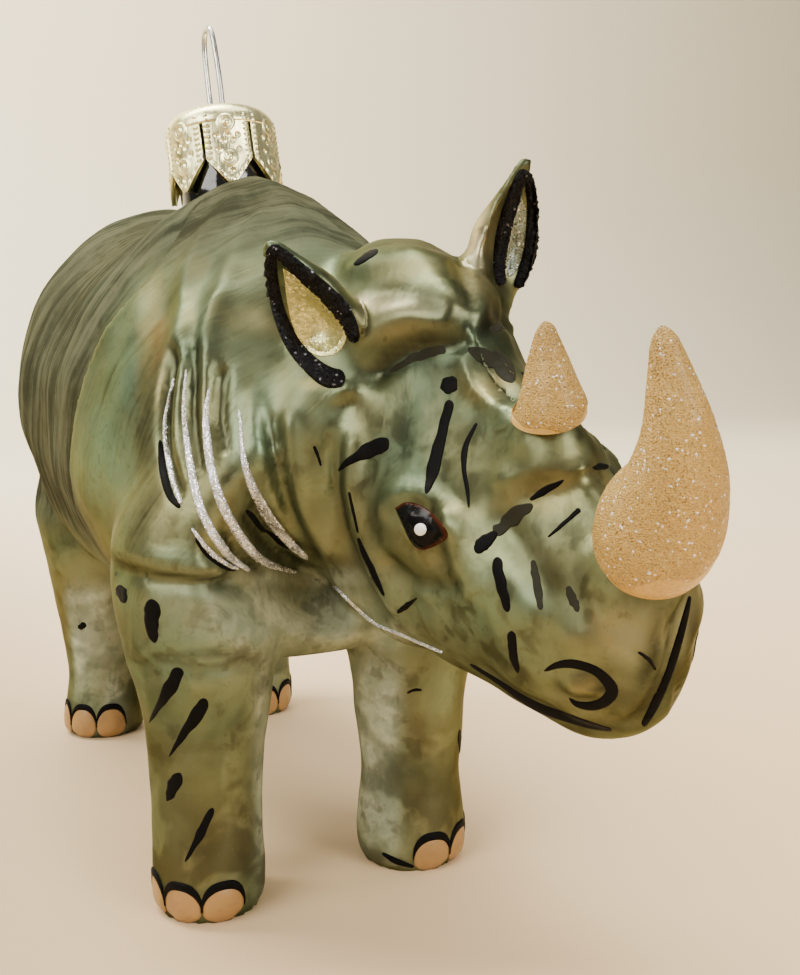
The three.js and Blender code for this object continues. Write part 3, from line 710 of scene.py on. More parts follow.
# ---- laying paint and glitter on the skin ----
class Surface:
    """The skin as triangles, seen as it is or in a mirror, for laying pieces on it."""

    def __init__(self, points, normals, quads):
        self.points, self.normals = points, normals
        self.triangles = np.concatenate([quads[:, [0, 1, 2]], quads[:, [0, 2, 3]]])
        self.middles = points[self.triangles].mean(1)
        self.faces = normals[self.triangles].mean(1)

    def landed(self, starts, rays, keep):
        """First place where each ray meets the kept triangles, and the normal there (Moller-Trumbore,
        every ray against every triangle at once). A ray that misses takes the nearest hit's distance."""
        which = self.triangles[keep]
        a, b, c = (self.points[which[:, k]] for k in range(3))
        one, two = b - a, c - a
        shape = rays.shape[:-1]
        rays, starts = rays.reshape(-1, 3), np.broadcast_to(starts, rays.shape).reshape(-1, 3)
        cross = np.cross(rays[:, None], two[None])
        flat = np.einsum("rtk,tk->rt", cross, one)
        flat = np.where(np.abs(flat) < 1e-12, 1e-12, flat)
        away = starts[:, None] - a[None]
        u = np.einsum("rtk,rtk->rt", away, cross) / flat
        turned_away = np.cross(away, one[None])
        v = np.einsum("rtk,rk->rt", turned_away, rays) / flat
        far = np.einsum("rtk,tk->rt", turned_away, two) / flat
        edge = 1e-6
        far = np.where((u >= -edge) & (v >= -edge) & (u + v <= 1 + edge) & (far > 0), far, np.inf)
        best = far.argmin(1)
        row = np.arange(len(rays))
        reach = far[row, best]
        hit = np.isfinite(reach)
        if hit.mean() < 0.6:
            return None
        share_u, share_v = u[row, best], v[row, best]
        normal = unit((1 - share_u - share_v)[:, None] * self.normals[which[best, 0]]
                      + share_u[:, None] * self.normals[which[best, 1]]
                      + share_v[:, None] * self.normals[which[best, 2]])
        if not hit.all():
            nearest = np.abs(row[:, None] - row[hit][None]).argmin(1)
            source = row[hit][nearest]
            reach = np.where(hit, reach, reach[source])
            normal = np.where(hit[:, None], normal, normal[source])
        place = starts + np.minimum(reach, 1e6)[:, None] * rays
        return place.reshape(shape + (3,)), normal.reshape(shape + (3,))

    def under(self, places):
        """Skin under view places."""
        rays = to_rays(places)
        mean = unit(rays.reshape(-1, 3).mean(0))
        spread = np.arccos(np.clip((rays.reshape(-1, 3) @ mean).min(), -1, 1)) + 0.012
        sight = unit(self.middles - EYE_POINT)
        keep = (sight @ mean > np.cos(spread)) & (np.einsum("ij,ij->i", sight, self.faces) < 0)
        return self.landed(EYE_POINT, rays, keep) if keep.any() else None


def skin_views(points, normals, quads, head):
    """The skin as it is, all but its head mirrored in the animal's middle plane, and its head mirrored in its own."""
    of_head = head[quads].mean(1) > 0.5
    return {
        "near": Surface(points, normals, quads),
        "body": Surface(*reflected(points, normals, "body"), quads[~of_head]),
        "head": Surface(*reflected(points, normals, "head"), quads[of_head]),
    }


def back_again(points, about):
    return points if about == "near" else reflected(points, np.zeros_like(points), about)[0]


def eye_view(points, groups, about):
    """A drop of enamel as a surface to lay its white dot on, seen from the camera or in the mirror."""
    quads = groups[0]
    normals = vertex_normals(points, quads)
    return Surface(points, normals, quads) if about == "near" else Surface(*reflected(points, normals, about), quads)


SUNK = 0.14                 # how far the underside of a painted piece lies in the glass


def laid_band(surface, line, width, tall, taper=None, across=9, step=2.4, grain=0.0, ragged=0.0, seed=0):
    """A domed band along a view line: half the width to each side, rounded off at both ends, its top
    raised by tall times a quarter circle across. width is one number or one for each point of the line, taper
    the share of the length over which each end closes, and ragged the share by which each side wanders."""
    length = np.linalg.norm(np.diff(np.asarray(line, float), axis=0), axis=1).sum()
    count = int(np.clip(length / step, 32, 260))
    share = (1 - np.cos(np.pi * np.linspace(0, 1, count))) / 2
    centre = through(np.column_stack([np.linspace(0, 1, len(line)), line]), share)
    sizes = np.broadcast_to(np.asarray(width, float), (len(line),))
    if taper is None:                   # half circles
        taper = float(np.clip(0.5 * sizes.max() / length, 0.02, 0.5))
    half = through(np.column_stack([np.linspace(0, 1, len(line)), sizes]), share)[:, 0] / 2
    half = np.maximum(half * rounding(share, taper) * rounding(1 - share, taper), 0.12)
    way = unit(np.gradient(centre, axis=0))
    sideways = np.stack([-way[:, 1], way[:, 0]], -1)
    a = np.linspace(-1, 1, across)
    draw = np.random.default_rng(seed + int(length * 10))
    knots = np.linspace(0, 1, 9)
    wander = [through(np.column_stack([knots, draw.uniform(-ragged, ragged, 9)]), share)[:, 0] for _ in range(2)]
    edge = half[:, None] * (1 + np.where(a < 0, wander[0][:, None], wander[1][:, None]))
    places = centre[:, None] + sideways[:, None] * (edge * a)[..., None]
    found = surface.under(places)
    if found is None:
        return None
    top, normal = found
    swell = tall * np.sqrt(np.maximum(1 - a ** 2, 0))[None] * np.minimum(half / half.max() * 2, 1)[:, None]
    if grain:
        swell = swell + grain * np.random.default_rng(seed).random(swell.shape) * (np.abs(a) < 0.99)
    above = top + normal * (swell + 0.02)[..., None]
    below = (top - normal * SUNK)[:, ::-1]
    rings = np.concatenate([above, below], 1)
    return closed_rows(rings[1:-1], above[0, across // 2], above[-1, across // 2])


def laid_patch(surface, outline, tall, sides=72, rings=12, power=2.0, grain=0.0, seed=0):
    """A domed patch inside a closed view outline: tall times 1 minus the share of the way out to a power."""
    outline = np.asarray(outline, float)
    ring = smooth_line(np.vstack([outline, outline[:1]]), sides + 1)[:-1]
    centre = ring.mean(0)
    share = np.linspace(0, 1, rings + 1)[1:]
    places = centre + share[:, None, None] * (ring - centre)[None]
    found = surface.under(np.concatenate([centre[None], places.reshape(-1, 2)]))
    if found is None:
        raise RuntimeError("a patch lies beside the surface it is laid on")
    top, normal = found
    middle, middle_normal = top[0], normal[0]
    top, normal = top[1:].reshape(rings, sides, 3), normal[1:].reshape(rings, sides, 3)
    swell = np.broadcast_to(tall * (1 - share ** power)[:, None], (rings, sides))
    if grain:
        swell = swell + grain * np.random.default_rng(seed).random(swell.shape)
    above = top + normal * (swell + 0.02)[..., None]
    edge = top[-1] - normal[-1] * SUNK
    return closed_rows(np.concatenate([above, edge[None]]),
                       middle + middle_normal * (tall + 0.02), middle - middle_normal * SUNK)


# Black strokes: view line, width in view points at each end, and the mirror of their twins.
STROKES = [
    ([(338, 471), (350, 461), (366, 452), (380, 445), (389, 447)], (3, 8, 14, 16, 13), "head"),
    ([(447, 394), (449, 386), (455, 377)], (12, 16, 14), "none"),
    ([(450, 400), (446, 418), (442, 436), (437, 454), (432, 474), (426, 494)], (9, 10, 10, 13, 12, 4), "head"),
    ([(477, 423), (468, 440), (464, 456), (464, 470), (467, 488), (469, 508)], (3, 5, 6, 5, 4, 2), "head"),
    ([(476, 553), (484, 543), (497, 532)], (10, 14, 9), "head"),
    ([(530, 500), (541, 493), (552, 487), (564, 480)], (4, 7, 7, 2), "head"),
    ([(548, 537), (560, 527), (570, 518), (580, 509)], (2, 4, 4, 5), "head"),
    ([(497, 557), (499, 575), (503, 592), (508, 612)], (8, 11, 10, 6), "head"),
    ([(511, 631), (512, 645), (514, 658), (518, 673)], (7, 9, 8, 4), "head"),
    ([(638, 652), (648, 659), (656, 670)], (2, 4, 2), "none"),
    ([(397, 613), (405, 607), (417, 598)], (3, 6, 2), "head"),
    ([(349, 492), (352, 506), (358, 533)], (2, 3, 2), "head"),
    ([(358, 538), (364, 553), (372, 570), (384, 596)], (3, 5, 6, 3), "head"),
    ([(314, 446), (318, 456), (321, 466)], (3, 3, 2), "body"),
    ([(354, 265), (366, 257), (378, 250)], (4, 8, 5), "none"),
    ([(119, 585), (122, 594), (125, 603)], (8, 11, 7), "body"),
    ([(151, 599), (152, 612), (152, 628), (155, 643)], (13, 16, 12, 7), "body"),
    ([(180, 668), (171, 686), (160, 704), (149, 723)], (13, 14, 8, 2), "body"),
    ([(206, 699), (196, 716), (184, 733), (169, 757)], (11, 14, 9, 2), "none"),
    ([(180, 773), (175, 783), (171, 793), (167, 801)], (9, 13, 10, 4), "body"),
    ([(213, 808), (204, 826), (196, 842), (185, 862)], (5, 9, 7, 2), "none"),
    ([(407, 693), (414, 690), (422, 690)], (2, 3, 2), "none"),
    ([(78, 628), (86, 624)], (5, 7), "none"),
    ([(275, 690), (277, 700)], (4, 4), "none"),
]
GREY_STROKES = [
    ([(495, 535), (506, 524), (518, 514), (533, 505)], (12, 14, 14, 9), "head"),
    ([(533, 560), (536, 578), (541, 610)], (5, 8, 6), "head"),
    ([(568, 586), (573, 600), (578, 612)], (7, 9, 4), "head"),
    ([(468, 349), (486, 356), (500, 364), (514, 382)], (10, 16, 18, 10), "none"),
    ([(446, 350), (430, 352), (410, 360), (390, 372)], (8, 10, 8, 4), "head"),
]
LINES = [   # the lips, the nostril's crescent, a sole line, and three black lines that are painted shadows beside the stripes
    ([(690, 596), (686, 614), (677, 647), (667, 678), (654, 706), (643, 726)], (3, 6, 8, 8, 9, 6), "none"),
    ([(470, 664), (500, 683), (520, 697), (540, 708), (562, 716), (590, 725), (612, 730)], (3, 5, 7, 9, 9, 7, 3), "none"),
    ([(544, 671), (558, 665), (574, 664), (594, 670), (607, 681), (612, 692), (604, 702), (591, 706), (577, 704),
      (569, 698)], (3, 7, 9, 9, 11, 13, 11, 9, 6, 2), "head"),
    ([(382, 853), (396, 861), (414, 867)], (3, 6, 3), "none"),
    # painted shadows: black lines in the shade beside the neck stripes
    ([(246, 510), (252, 516), (262, 529), (268, 532), (280, 541), (292, 549)], (3, 6, 5, 3, 7, 4), "body"),
    ([(160, 440), (163, 470), (170, 495), (180, 508)], (4, 8, 8, 4), "body"),
    ([(196, 538), (208, 553), (224, 566), (236, 570)], (5, 8, 6, 3), "body"),
]
STRIPES = [   # silver glitter; the last is the thin line along the jaw
    ([(174, 378), (165, 425), (171, 472), (181, 504)], (2, 5, 6, 4), "body"),
    ([(186, 369), (184, 412), (191, 468), (202, 512), (225, 551), (249, 571)], (2, 5, 8, 9, 9, 4), "body"),
    ([(209, 388), (206, 419), (212, 472), (229, 518), (259, 558), (298, 573)], (2, 7, 9, 10, 9, 4), "body"),
    ([(239, 409), (245, 465), (265, 512), (288, 541), (308, 559)], (2, 7, 11, 9, 4), "body"),
    ([(192, 528), (209, 551), (226, 564), (238, 569)], (3, 6, 5, 3), "body"),
    ([(334, 585), (355, 606), (375, 623), (396, 632), (417, 641), (443, 652)], (1.4, 1.7, 1.8, 1.8, 1.7, 1.4), "none"),
]
EYE_OUTLINE = [(395, 508), (407, 502), (424, 507), (438, 519), (448, 535), (439, 544), (422, 550), (411, 542), (402, 524)]
EYE_SPOT = (420.5, 529.5)
EYE_SPOT_SIZE = 6.2


def mirror_views(twin):
    return ("near",) if twin == "none" else ("near", twin)


def bands(views, strokes, tall, **more):
    shapes = []
    for line, width, twin in strokes:
        for about in mirror_views(twin):
            laid = laid_band(views[about], line, width, tall, **more)
            if laid is None and about == "near":
                raise RuntimeError("a painted line lies beside the skin, from " + str(line[0]))
            if laid is not None:        # a twin may be hidden where the neck covers the head
                shapes.append(outward(back_again(laid[0], about), laid[1]))
    return joined(shapes)


# ---- feet ----
TOE_TURNS = (0.0, 42.0, 85.0)   # from straight ahead to the outer side, degrees
TOE_HALF = 20.5
TOE_TALL = {"front": 3.5, "hind": 4.1}


def foot_places(view, leg, turn, height):
    """Skin round a foot: rays from the leg's middle line, at a turn from straight ahead to the outer side."""
    x, y, rows = LEGS[leg]
    outer = np.sign(x)
    turn, height = np.broadcast_arrays(np.radians(turn), height)
    rays = np.stack([outer * np.sin(turn), -np.cos(turn), np.zeros_like(turn)], -1)
    starts = np.stack([np.full_like(height, x), np.full_like(height, y), height + SOLE_LEVEL], -1)
    away = view.middles - np.array([x, y, 0])
    keep = (np.hypot(away[:, 0], away[:, 1]) < 9) & (view.middles[:, 2] < 14)
    return view.landed(starts, rays, keep)


def toe_shape(view, leg, turn, sides=48, rings=8):
    """A nail: flat at the sole, an arch above it, slightly domed."""
    tall = TOE_TALL["front" if "front" in leg else "hind"]
    angle = np.linspace(0, 2 * np.pi, sides, endpoint=False)
    c, s = np.cos(angle), np.sin(angle)
    edge_turn = TOE_HALF * np.sign(c) * np.abs(c) ** 0.8
    edge_up = np.where(s > 0, 0.42 * tall + 0.58 * tall * s, 0.42 * tall + (0.42 * tall - 0.08) * s)
    share = np.linspace(0, 1, rings + 1)[1:]
    turns = np.concatenate([[turn], (turn + share[:, None] * edge_turn).reshape(-1)])
    ups = np.concatenate([[0.42 * tall], (0.42 * tall + share[:, None] * (edge_up - 0.42 * tall)).reshape(-1)])
    top, normal = foot_places(view, leg, turns, ups)
    middle, lean = top[0], normal[0]
    top, normal = top[1:].reshape(rings, sides, 3), normal[1:].reshape(rings, sides, 3)
    above = top + normal * (0.05 + 0.2 * (1 - share ** 2.4))[:, None, None]
    shape = closed_rows(np.concatenate([above, (top[-1] - normal[-1] * SUNK)[None]]),
                        middle + lean * 0.25, middle - lean * SUNK)
    shape[0][:, 2] = np.maximum(shape[0][:, 2], SOLE_LEVEL)
    return shape


def toe_line(view, leg, turn):
    """The black arch round one nail, thicker where two nails meet."""
    tall = TOE_TALL["front" if "front" in leg else "hind"]
    share = np.linspace(0, 1, 40)
    angle = np.pi * (1 - share)
    turns = turn + (TOE_HALF + 1.0) * np.sign(np.cos(angle)) * np.abs(np.cos(angle)) ** 0.8
    ups = 0.42 * tall + (0.58 * tall + 0.3) * np.sin(angle)
    a = np.linspace(-1, 1, 7)
    thick = (0.38 + 0.1 * np.abs(np.cos(angle))) * np.maximum(rounding(share, 0.1) * rounding(1 - share, 0.1), 0.05)
    top, normal = foot_places(view, leg, turns[:, None] + 0 * a, ups[:, None] + thick[:, None] * a)
    above = top + normal * (0.1 + 0.08 * np.sqrt(1 - a ** 2))[None, :, None]
    rings = np.concatenate([above, (top - normal * SUNK)[:, ::-1]], 1)
    points, groups = closed_rows(rings[1:-1], above[0, 3], above[-1, 3])
    points[:, 2] = np.maximum(points[:, 2], SOLE_LEVEL)
    return points, groups


# ---- ears: the black glitter line round the mouth of each, and the leaf inside ----
EAR_TRIM = {
    "ear_right": ([(357, 342), (350, 322), (336, 302), (315, 282), (294, 264), (275, 250), (272, 262), (274, 290),
                   (281, 318), (293, 344), (310, 364), (328, 377), (345, 378)],
                  (8, 13, 15, 14, 12, 10, 10, 12, 14, 16, 18, 21, 17)),
    "ear_left": ([(500, 286), (499, 262), (503, 234), (511, 204), (522, 174), (529, 186), (532, 214), (530, 246),
                  (524, 270), (516, 288)],
                 (8, 12, 14, 13, 9, 8, 10, 11, 11, 8)),
}
EAR_LEAF = {
    "ear_right": [(283, 268), (306, 284), (330, 306), (346, 332), (338, 352), (318, 356), (300, 342), (289, 312)],
    "ear_left": [(521, 196), (526, 214), (524, 246), (517, 270), (508, 276), (507, 250), (511, 222)],
}


# ---- horns ----
def horn_shape(rows, length_steps, sides, grain, seed, bare):
    """The horn's circles, with fine grains above the bare glass rim at its foot; also the grain share."""
    share = (1 - np.cos(np.pi * np.arange(1, length_steps) / length_steps)) / 2
    angle = 2 * np.pi * np.arange(sides) / sides
    edge = bare * (1 + 0.35 * np.sin(angle * 2 + seed) + 0.2 * np.sin(angle * 5))
    cover = smooth(share[:, None], edge - 0.008, edge + 0.012)
    noise = np.random.default_rng(seed).random((len(share), sides))
    rings = horn_rings(rows, share, angle, swell=cover * (0.02 + grain * noise))
    ends = horn_rings(rows, np.array([0.0, 1.0]), angle[:1])[:, 0]
    points, groups = closed_rows(rings, ends[0], ends[1])
    return points, groups, np.concatenate([cover.reshape(-1), [0.0, 1.0]])


# ---- hanging fittings ----
FIT_FOOT = np.array([1.2, 4.0, 71.8])
FIT_LEAN = unit(np.array([-0.07, 0.15, 1.0]))
NECK_TUBE = {"radius": 5.6, "bore": 4.3, "foot": -7.0, "top": 8.1, "depth": 6.0}
CAP = {"radius": 6.5, "wall": 0.55, "height": 9.9, "edge": 2.4, "waist": 4.0, "flare": 0.25, "petals": 7,
       "notch": 2.6, "rise": 3.0, "slit": 7.8, "gap": 0.2}
CAP_PHASE = 0.3
LOOP_TURN = -0.05
WIRE = {"radius": 0.33, "half": 2.1, "foot": 0.8, "entry": 0.9, "neck": 0.75, "below": 1.6, "shoulder": 4.0,
        "top": 10.5, "arch": 1.3}


def on_fitting(points):
    """Drawing points of the fittings' own axes: the shortest turn of up onto their lean."""
    up = np.array([0.0, 0.0, 1.0])
    v = np.cross(up, FIT_LEAN)
    c = up @ FIT_LEAN
    k = np.array([[0, -v[2], v[1]], [v[2], 0, -v[0]], [-v[1], v[0], 0]])
    return points @ (np.eye(3) + k + k @ k / (1 + c)).T + FIT_FOOT


def lathe_shape(profile, sides=96):
    """A profile of radius and height turned round the fittings' axis; its ends lie on the axis."""
    profile = np.asarray(profile, float)
    a = 2 * np.pi * np.arange(sides) / sides
    rings = np.stack([profile[1:-1, :1] * np.cos(a), profile[1:-1, :1] * np.sin(a),
                      np.broadcast_to(profile[1:-1, 1:], (len(profile) - 2, sides))], -1)
    ends = [on_fitting(np.array([0.0, 0.0, z])) for z in (profile[0, 1], profile[-1, 1])]
    return closed_rows(on_fitting(rings), *ends)


def cap_radius(z, inside=0.0):
    """Radius of the cap's wall: flared to the foot, straight, then a quarter circle at the shoulder."""
    edge, height, radius = CAP["edge"], CAP["height"], CAP["radius"]
    flared = radius - inside + CAP["flare"] * np.maximum(1 - z / CAP["waist"], 0)
    rise = np.clip((z - (height - edge)) / (edge - inside), 0, 1)
    return np.where(z > height - edge, radius - edge + (edge - inside) * np.sqrt(1 - rise ** 2), flared)


def dot(x, z, at_x, at_z, size):
    return np.exp(-(((x - at_x) ** 2 + (z - at_z) ** 2) / size ** 2) ** 2)


def cap_relief(x, z, half, low):
    """Pressed pattern of a petal: a row of beads along its sides and point, two ringed dots and dimples."""
    pitch = 0.62
    from_side = half - np.abs(x) - 0.42
    beads = np.exp(-(from_side / 0.2) ** 2) * (0.5 + 0.5 * np.cos(2 * np.pi * z / pitch)) ** 1.5 * (z > low + 0.4)
    from_point = (z - low) - 0.5
    beads = np.maximum(beads, np.exp(-(from_point / 0.22) ** 2) * (0.5 + 0.5 * np.cos(2 * np.pi * x / pitch)) ** 1.5)
    pattern = 0.16 * beads
    for height, size in ((7.0, 0.8), (2.9, 0.72)):
        ring = np.hypot(x, z - height)
        pattern = pattern + 0.15 * np.exp(-((ring - size) / 0.16) ** 2) + 0.2 * dot(x, z, 0, height, 0.36)
    for at_x, at_z in ((-0.55, 4.9), (0.55, 5.0), (-1.2, 5.5), (1.2, 5.6), (-1.15, 3.9), (1.2, 4.0), (0, 5.5), (0, 1.4)):
        pattern = pattern - 0.18 * dot(x, z, at_x, at_z, 0.27)
    return pattern


def petal_shape(k, columns=42, rows=66):
    """One petal: across it by arc length, up it from its point to the shoulder, with a wall behind."""
    pitch = 2 * np.pi * CAP["radius"] / CAP["petals"]
    half = pitch / 2 - CAP["gap"]
    x = np.linspace(-half, half, columns)
    flat = pitch / 2 - CAP["notch"]
    low = CAP["rise"] * np.clip((np.abs(x) - flat) / (half - flat), 0, 1)
    top = CAP["slit"] + 0.35
    z = low[None] + (top - low)[None] * np.linspace(0, 1, rows)[:, None]
    middle = 2 * np.pi * (k + CAP_PHASE + 0.5) / CAP["petals"]
    turn = middle + np.broadcast_to(x[None], z.shape) / CAP["radius"]

    def wall(radius):
        return on_fitting(np.stack([radius * np.sin(turn), -radius * np.cos(turn), z], -1))

    outer = wall(cap_radius(z) + cap_relief(np.broadcast_to(x[None], z.shape), z, half, low[None]) - 0.02)
    inner = wall(cap_radius(z, CAP["wall"]))
    rings = np.concatenate([outer, inner[:, ::-1]], 1)
    return closed_rows(rings, (outer[0, columns // 2] + inner[0, columns // 2]) / 2,
                       (outer[-1, columns // 2] + inner[-1, columns // 2]) / 2)


def crown_shape():
    """The cap's closed top, from the slits' ends over the shoulder."""
    angle = np.linspace(0, np.pi / 2, 14)
    edge, height, radius, wall = CAP["edge"], CAP["height"], CAP["radius"], CAP["wall"]
    outer = [(radius - edge + edge * np.sin(a), height - edge + edge * np.cos(a)) for a in angle]
    inner = [(radius - edge + (edge - wall) * np.sin(a), height - edge + (edge - wall) * np.cos(a)) for a in angle]
    bowl = [(0, height - 0.35), (1.2, height - 0.33), (2.6, height - 0.2), (3.6, height)]
    return lathe_shape(bowl + outer + [(radius, CAP["slit"] - 0.6), (radius - wall, CAP["slit"] - 0.6)]
                       + inner[::-1] + [(0, height - wall - 0.35)])


def wire_shape():
    """Round wire along the loop: two legs out of the cap that bow out and meet in an arch."""
    half, height = WIRE["half"], CAP["height"]
    side = [(half * WIRE["foot"], height - WIRE["below"]), (half * WIRE["entry"], height),
            (half, height + WIRE["shoulder"]), (half * WIRE["neck"], height + WIRE["top"] - WIRE["arch"])]
    line = [(-w, z) for w, z in side] + [(0, height + WIRE["top"])] + side[::-1]
    flat = smooth_line(line, 90)
    turn = np.array([np.sin(LOOP_TURN), np.cos(LOOP_TURN)])
    points = np.column_stack([flat[:, :1] * turn, flat[:, 1]])
    share = np.linspace(0, 1, 90)
    radii = WIRE["radius"] * np.maximum(rounding(share, 0.01) * rounding(1 - share, 0.01), 0.1)
    return tube_shape(on_fitting(points), radii, 20)


# ---- materials ----
class Graph:
    """Adds nodes to a tree and joins them."""

    def __init__(self, tree):
        self.tree, self.column = tree, 0

    def node(self, kind, inputs=None, **settings):
        node = self.tree.nodes.new(kind)
        node.location = (self.column, 0)
        self.column += 180
        for key, value in settings.items():
            setattr(node, key, value)
        for key, value in (inputs or {}).items():
            self.feed(node.inputs[key], value)
        return node

    def feed(self, socket, value):
        if isinstance(value, bpy.types.NodeSocket):
            self.tree.links.new(value, socket)
        else:
            socket.default_value = value

    def blend(self, share, first, second, mode="MIX"):
        """Colour between first and second."""
        return self.node("ShaderNodeMix", {0: share, 6: first, 7: second}, data_type="RGBA", blend_type=mode).outputs[2]

    def mixed(self, share, first, second):
        """Number between first and second."""
        return self.node("ShaderNodeMix", {0: share, 2: first, 3: second}, data_type="FLOAT").outputs[0]

    def number(self, operation, first, second=0.0):
        return self.node("ShaderNodeMath", {0: first, 1: second}, operation=operation).outputs[0]

    def between(self, value, low, high, start=0.0, end=1.0):
        """value from low to high becomes start to end, along a soft S."""
        return self.node("ShaderNodeMapRange", {"Value": value, "From Min": low, "From Max": high, "To Min": start,
                                                "To Max": end}, interpolation_type="SMOOTHSTEP").outputs["Result"]

    def stored(self, name, output="Fac"):
        return self.node("ShaderNodeAttribute", attribute_name=name).outputs[output]

    def group(self, tree, **inputs):
        node = self.node("ShaderNodeGroup")
        node.node_tree = tree
        for key, value in inputs.items():
            self.feed(node.inputs[key.replace("_", " ")], value)
        return node.outputs

    def bump(self, height, strength, depth, normal=None):
        inputs = {"Height": height, "Strength": strength, "Distance": depth}
        if normal is not None:
            inputs["Normal"] = normal
        return self.node("ShaderNodeBump", inputs).outputs["Normal"]


def shared(name, inputs, outputs, fill):
    """A node group with named inputs and outputs."""
    tree = bpy.data.node_groups.new(name, "ShaderNodeTree")
    for key, kind, value in inputs:
        socket = tree.interface.new_socket(name=key, in_out="INPUT", socket_type=kind)
        if value is not None:
            socket.default_value = value
    for key, kind in outputs:
        tree.interface.new_socket(name=key, in_out="OUTPUT", socket_type=kind)
    fill(Graph(tree), tree.nodes.new("NodeGroupInput").outputs, tree.nodes.new("NodeGroupOutput").inputs)
    return tree


FLOAT, VECTOR, COLOUR = "NodeSocketFloat", "NodeSocketVector", "NodeSocketColor"


def fill_brushwork(graph, given, wanted):
    """Streaks of a soft brush: noise stretched along the second and third number of the vector."""
    stretched = graph.node("ShaderNodeVectorMath", {0: given["Vector"], 1: (1.0, 0.07, 0.07)}, operation="MULTIPLY")
    scale = graph.number("DIVIDE", 1.0, given["Width"])
    noise = graph.node("ShaderNodeTexNoise", {"Vector": stretched.outputs[0], "Scale": scale, "Detail": 4.0,
                                              "Roughness": 0.62}).outputs["Fac"]
    graph.feed(wanted["Streaks"], graph.between(noise, 0.34, 0.66))


def fill_patches(graph, given, wanted):
    """Soft patches of lacquer, covering a share of the surface."""
    scale = graph.number("DIVIDE", 1.0, given["Size"])
    noise = graph.node("ShaderNodeTexNoise", {"Vector": given["Vector"], "Scale": scale, "Detail": 2.5,
                                              "Roughness": 0.55, "Distortion": 0.4}).outputs["Fac"]
    edge = graph.number("SUBTRACT", 1.0, given["Cover"])
    low = graph.number("SUBTRACT", edge, 0.14)
    high = graph.number("ADD", edge, 0.14)
    graph.feed(wanted["Mask"], graph.between(noise, low, high))


def fill_grains(graph, given, wanted):
    """Glitter: cells that each lean their own way, some of them bright."""
    scale = graph.number("DIVIDE", 1.0, given["Size"])
    cells = graph.node("ShaderNodeTexVoronoi", {"Vector": given["Vector"], "Scale": scale}, feature="F1")
    lean = graph.node("ShaderNodeVectorMath", {0: cells.outputs["Color"], 1: (0.5, 0.5, 0.5)}, operation="SUBTRACT")
    lean = graph.node("ShaderNodeVectorMath", {0: lean.outputs[0], "Scale": given["Lean"]}, operation="SCALE")
    normal = graph.node("ShaderNodeNewGeometry").outputs["Normal"]
    summed = graph.node("ShaderNodeVectorMath", {0: lean.outputs[0], 1: normal}, operation="ADD")
    whole = graph.node("ShaderNodeVectorMath", {0: summed.outputs[0]}, operation="NORMALIZE")
    parts = graph.node("ShaderNodeSeparateColor", {"Color": cells.outputs["Color"]})
    edge = graph.number("SUBTRACT", 1.0, given["Share"])
    graph.feed(wanted["Normal"], whole.outputs[0])
    graph.feed(wanted["Bright"], graph.number("GREATER_THAN", parts.outputs[1], edge))
    graph.feed(wanted["Tone"], parts.outputs[0])
    graph.feed(wanted["Height"], graph.number("SUBTRACT", 1.0, cells.outputs["Distance"]))


def shared_effects():
    return {
        "brushwork": shared("brushwork", [("Vector", VECTOR, None), ("Width", FLOAT, 0.001)], [("Streaks", FLOAT)],
                            fill_brushwork),
        "patches": shared("lacquer patches", [("Vector", VECTOR, None), ("Size", FLOAT, 0.01), ("Cover", FLOAT, 0.5)],
                          [("Mask", FLOAT)], fill_patches),
        "grains": shared("glitter grains", [("Vector", VECTOR, None), ("Size", FLOAT, 0.0004), ("Lean", FLOAT, 0.8),
                                            ("Share", FLOAT, 0.1)],
                         [("Normal", VECTOR), ("Bright", FLOAT), ("Tone", FLOAT), ("Height", FLOAT)], fill_grains),
    }


def blank(name, **values):
    """A material with one principled shader: the material, its graph and a way to feed the shader."""
    material = bpy.data.materials.new(name)
    material.use_nodes = True
    tree = material.node_tree
    tree.nodes.clear()
    graph = Graph(tree)
    shader = graph.node("ShaderNodeBsdfPrincipled")
    end = graph.node("ShaderNodeOutputMaterial")
    tree.links.new(shader.outputs[0], end.inputs[0])
    for key, value in values.items():
        graph.feed(shader.inputs[key.replace("_", " ")], value)
    return material, graph, shader.inputs


def solid(colour):
    return (*colour, 1.0)


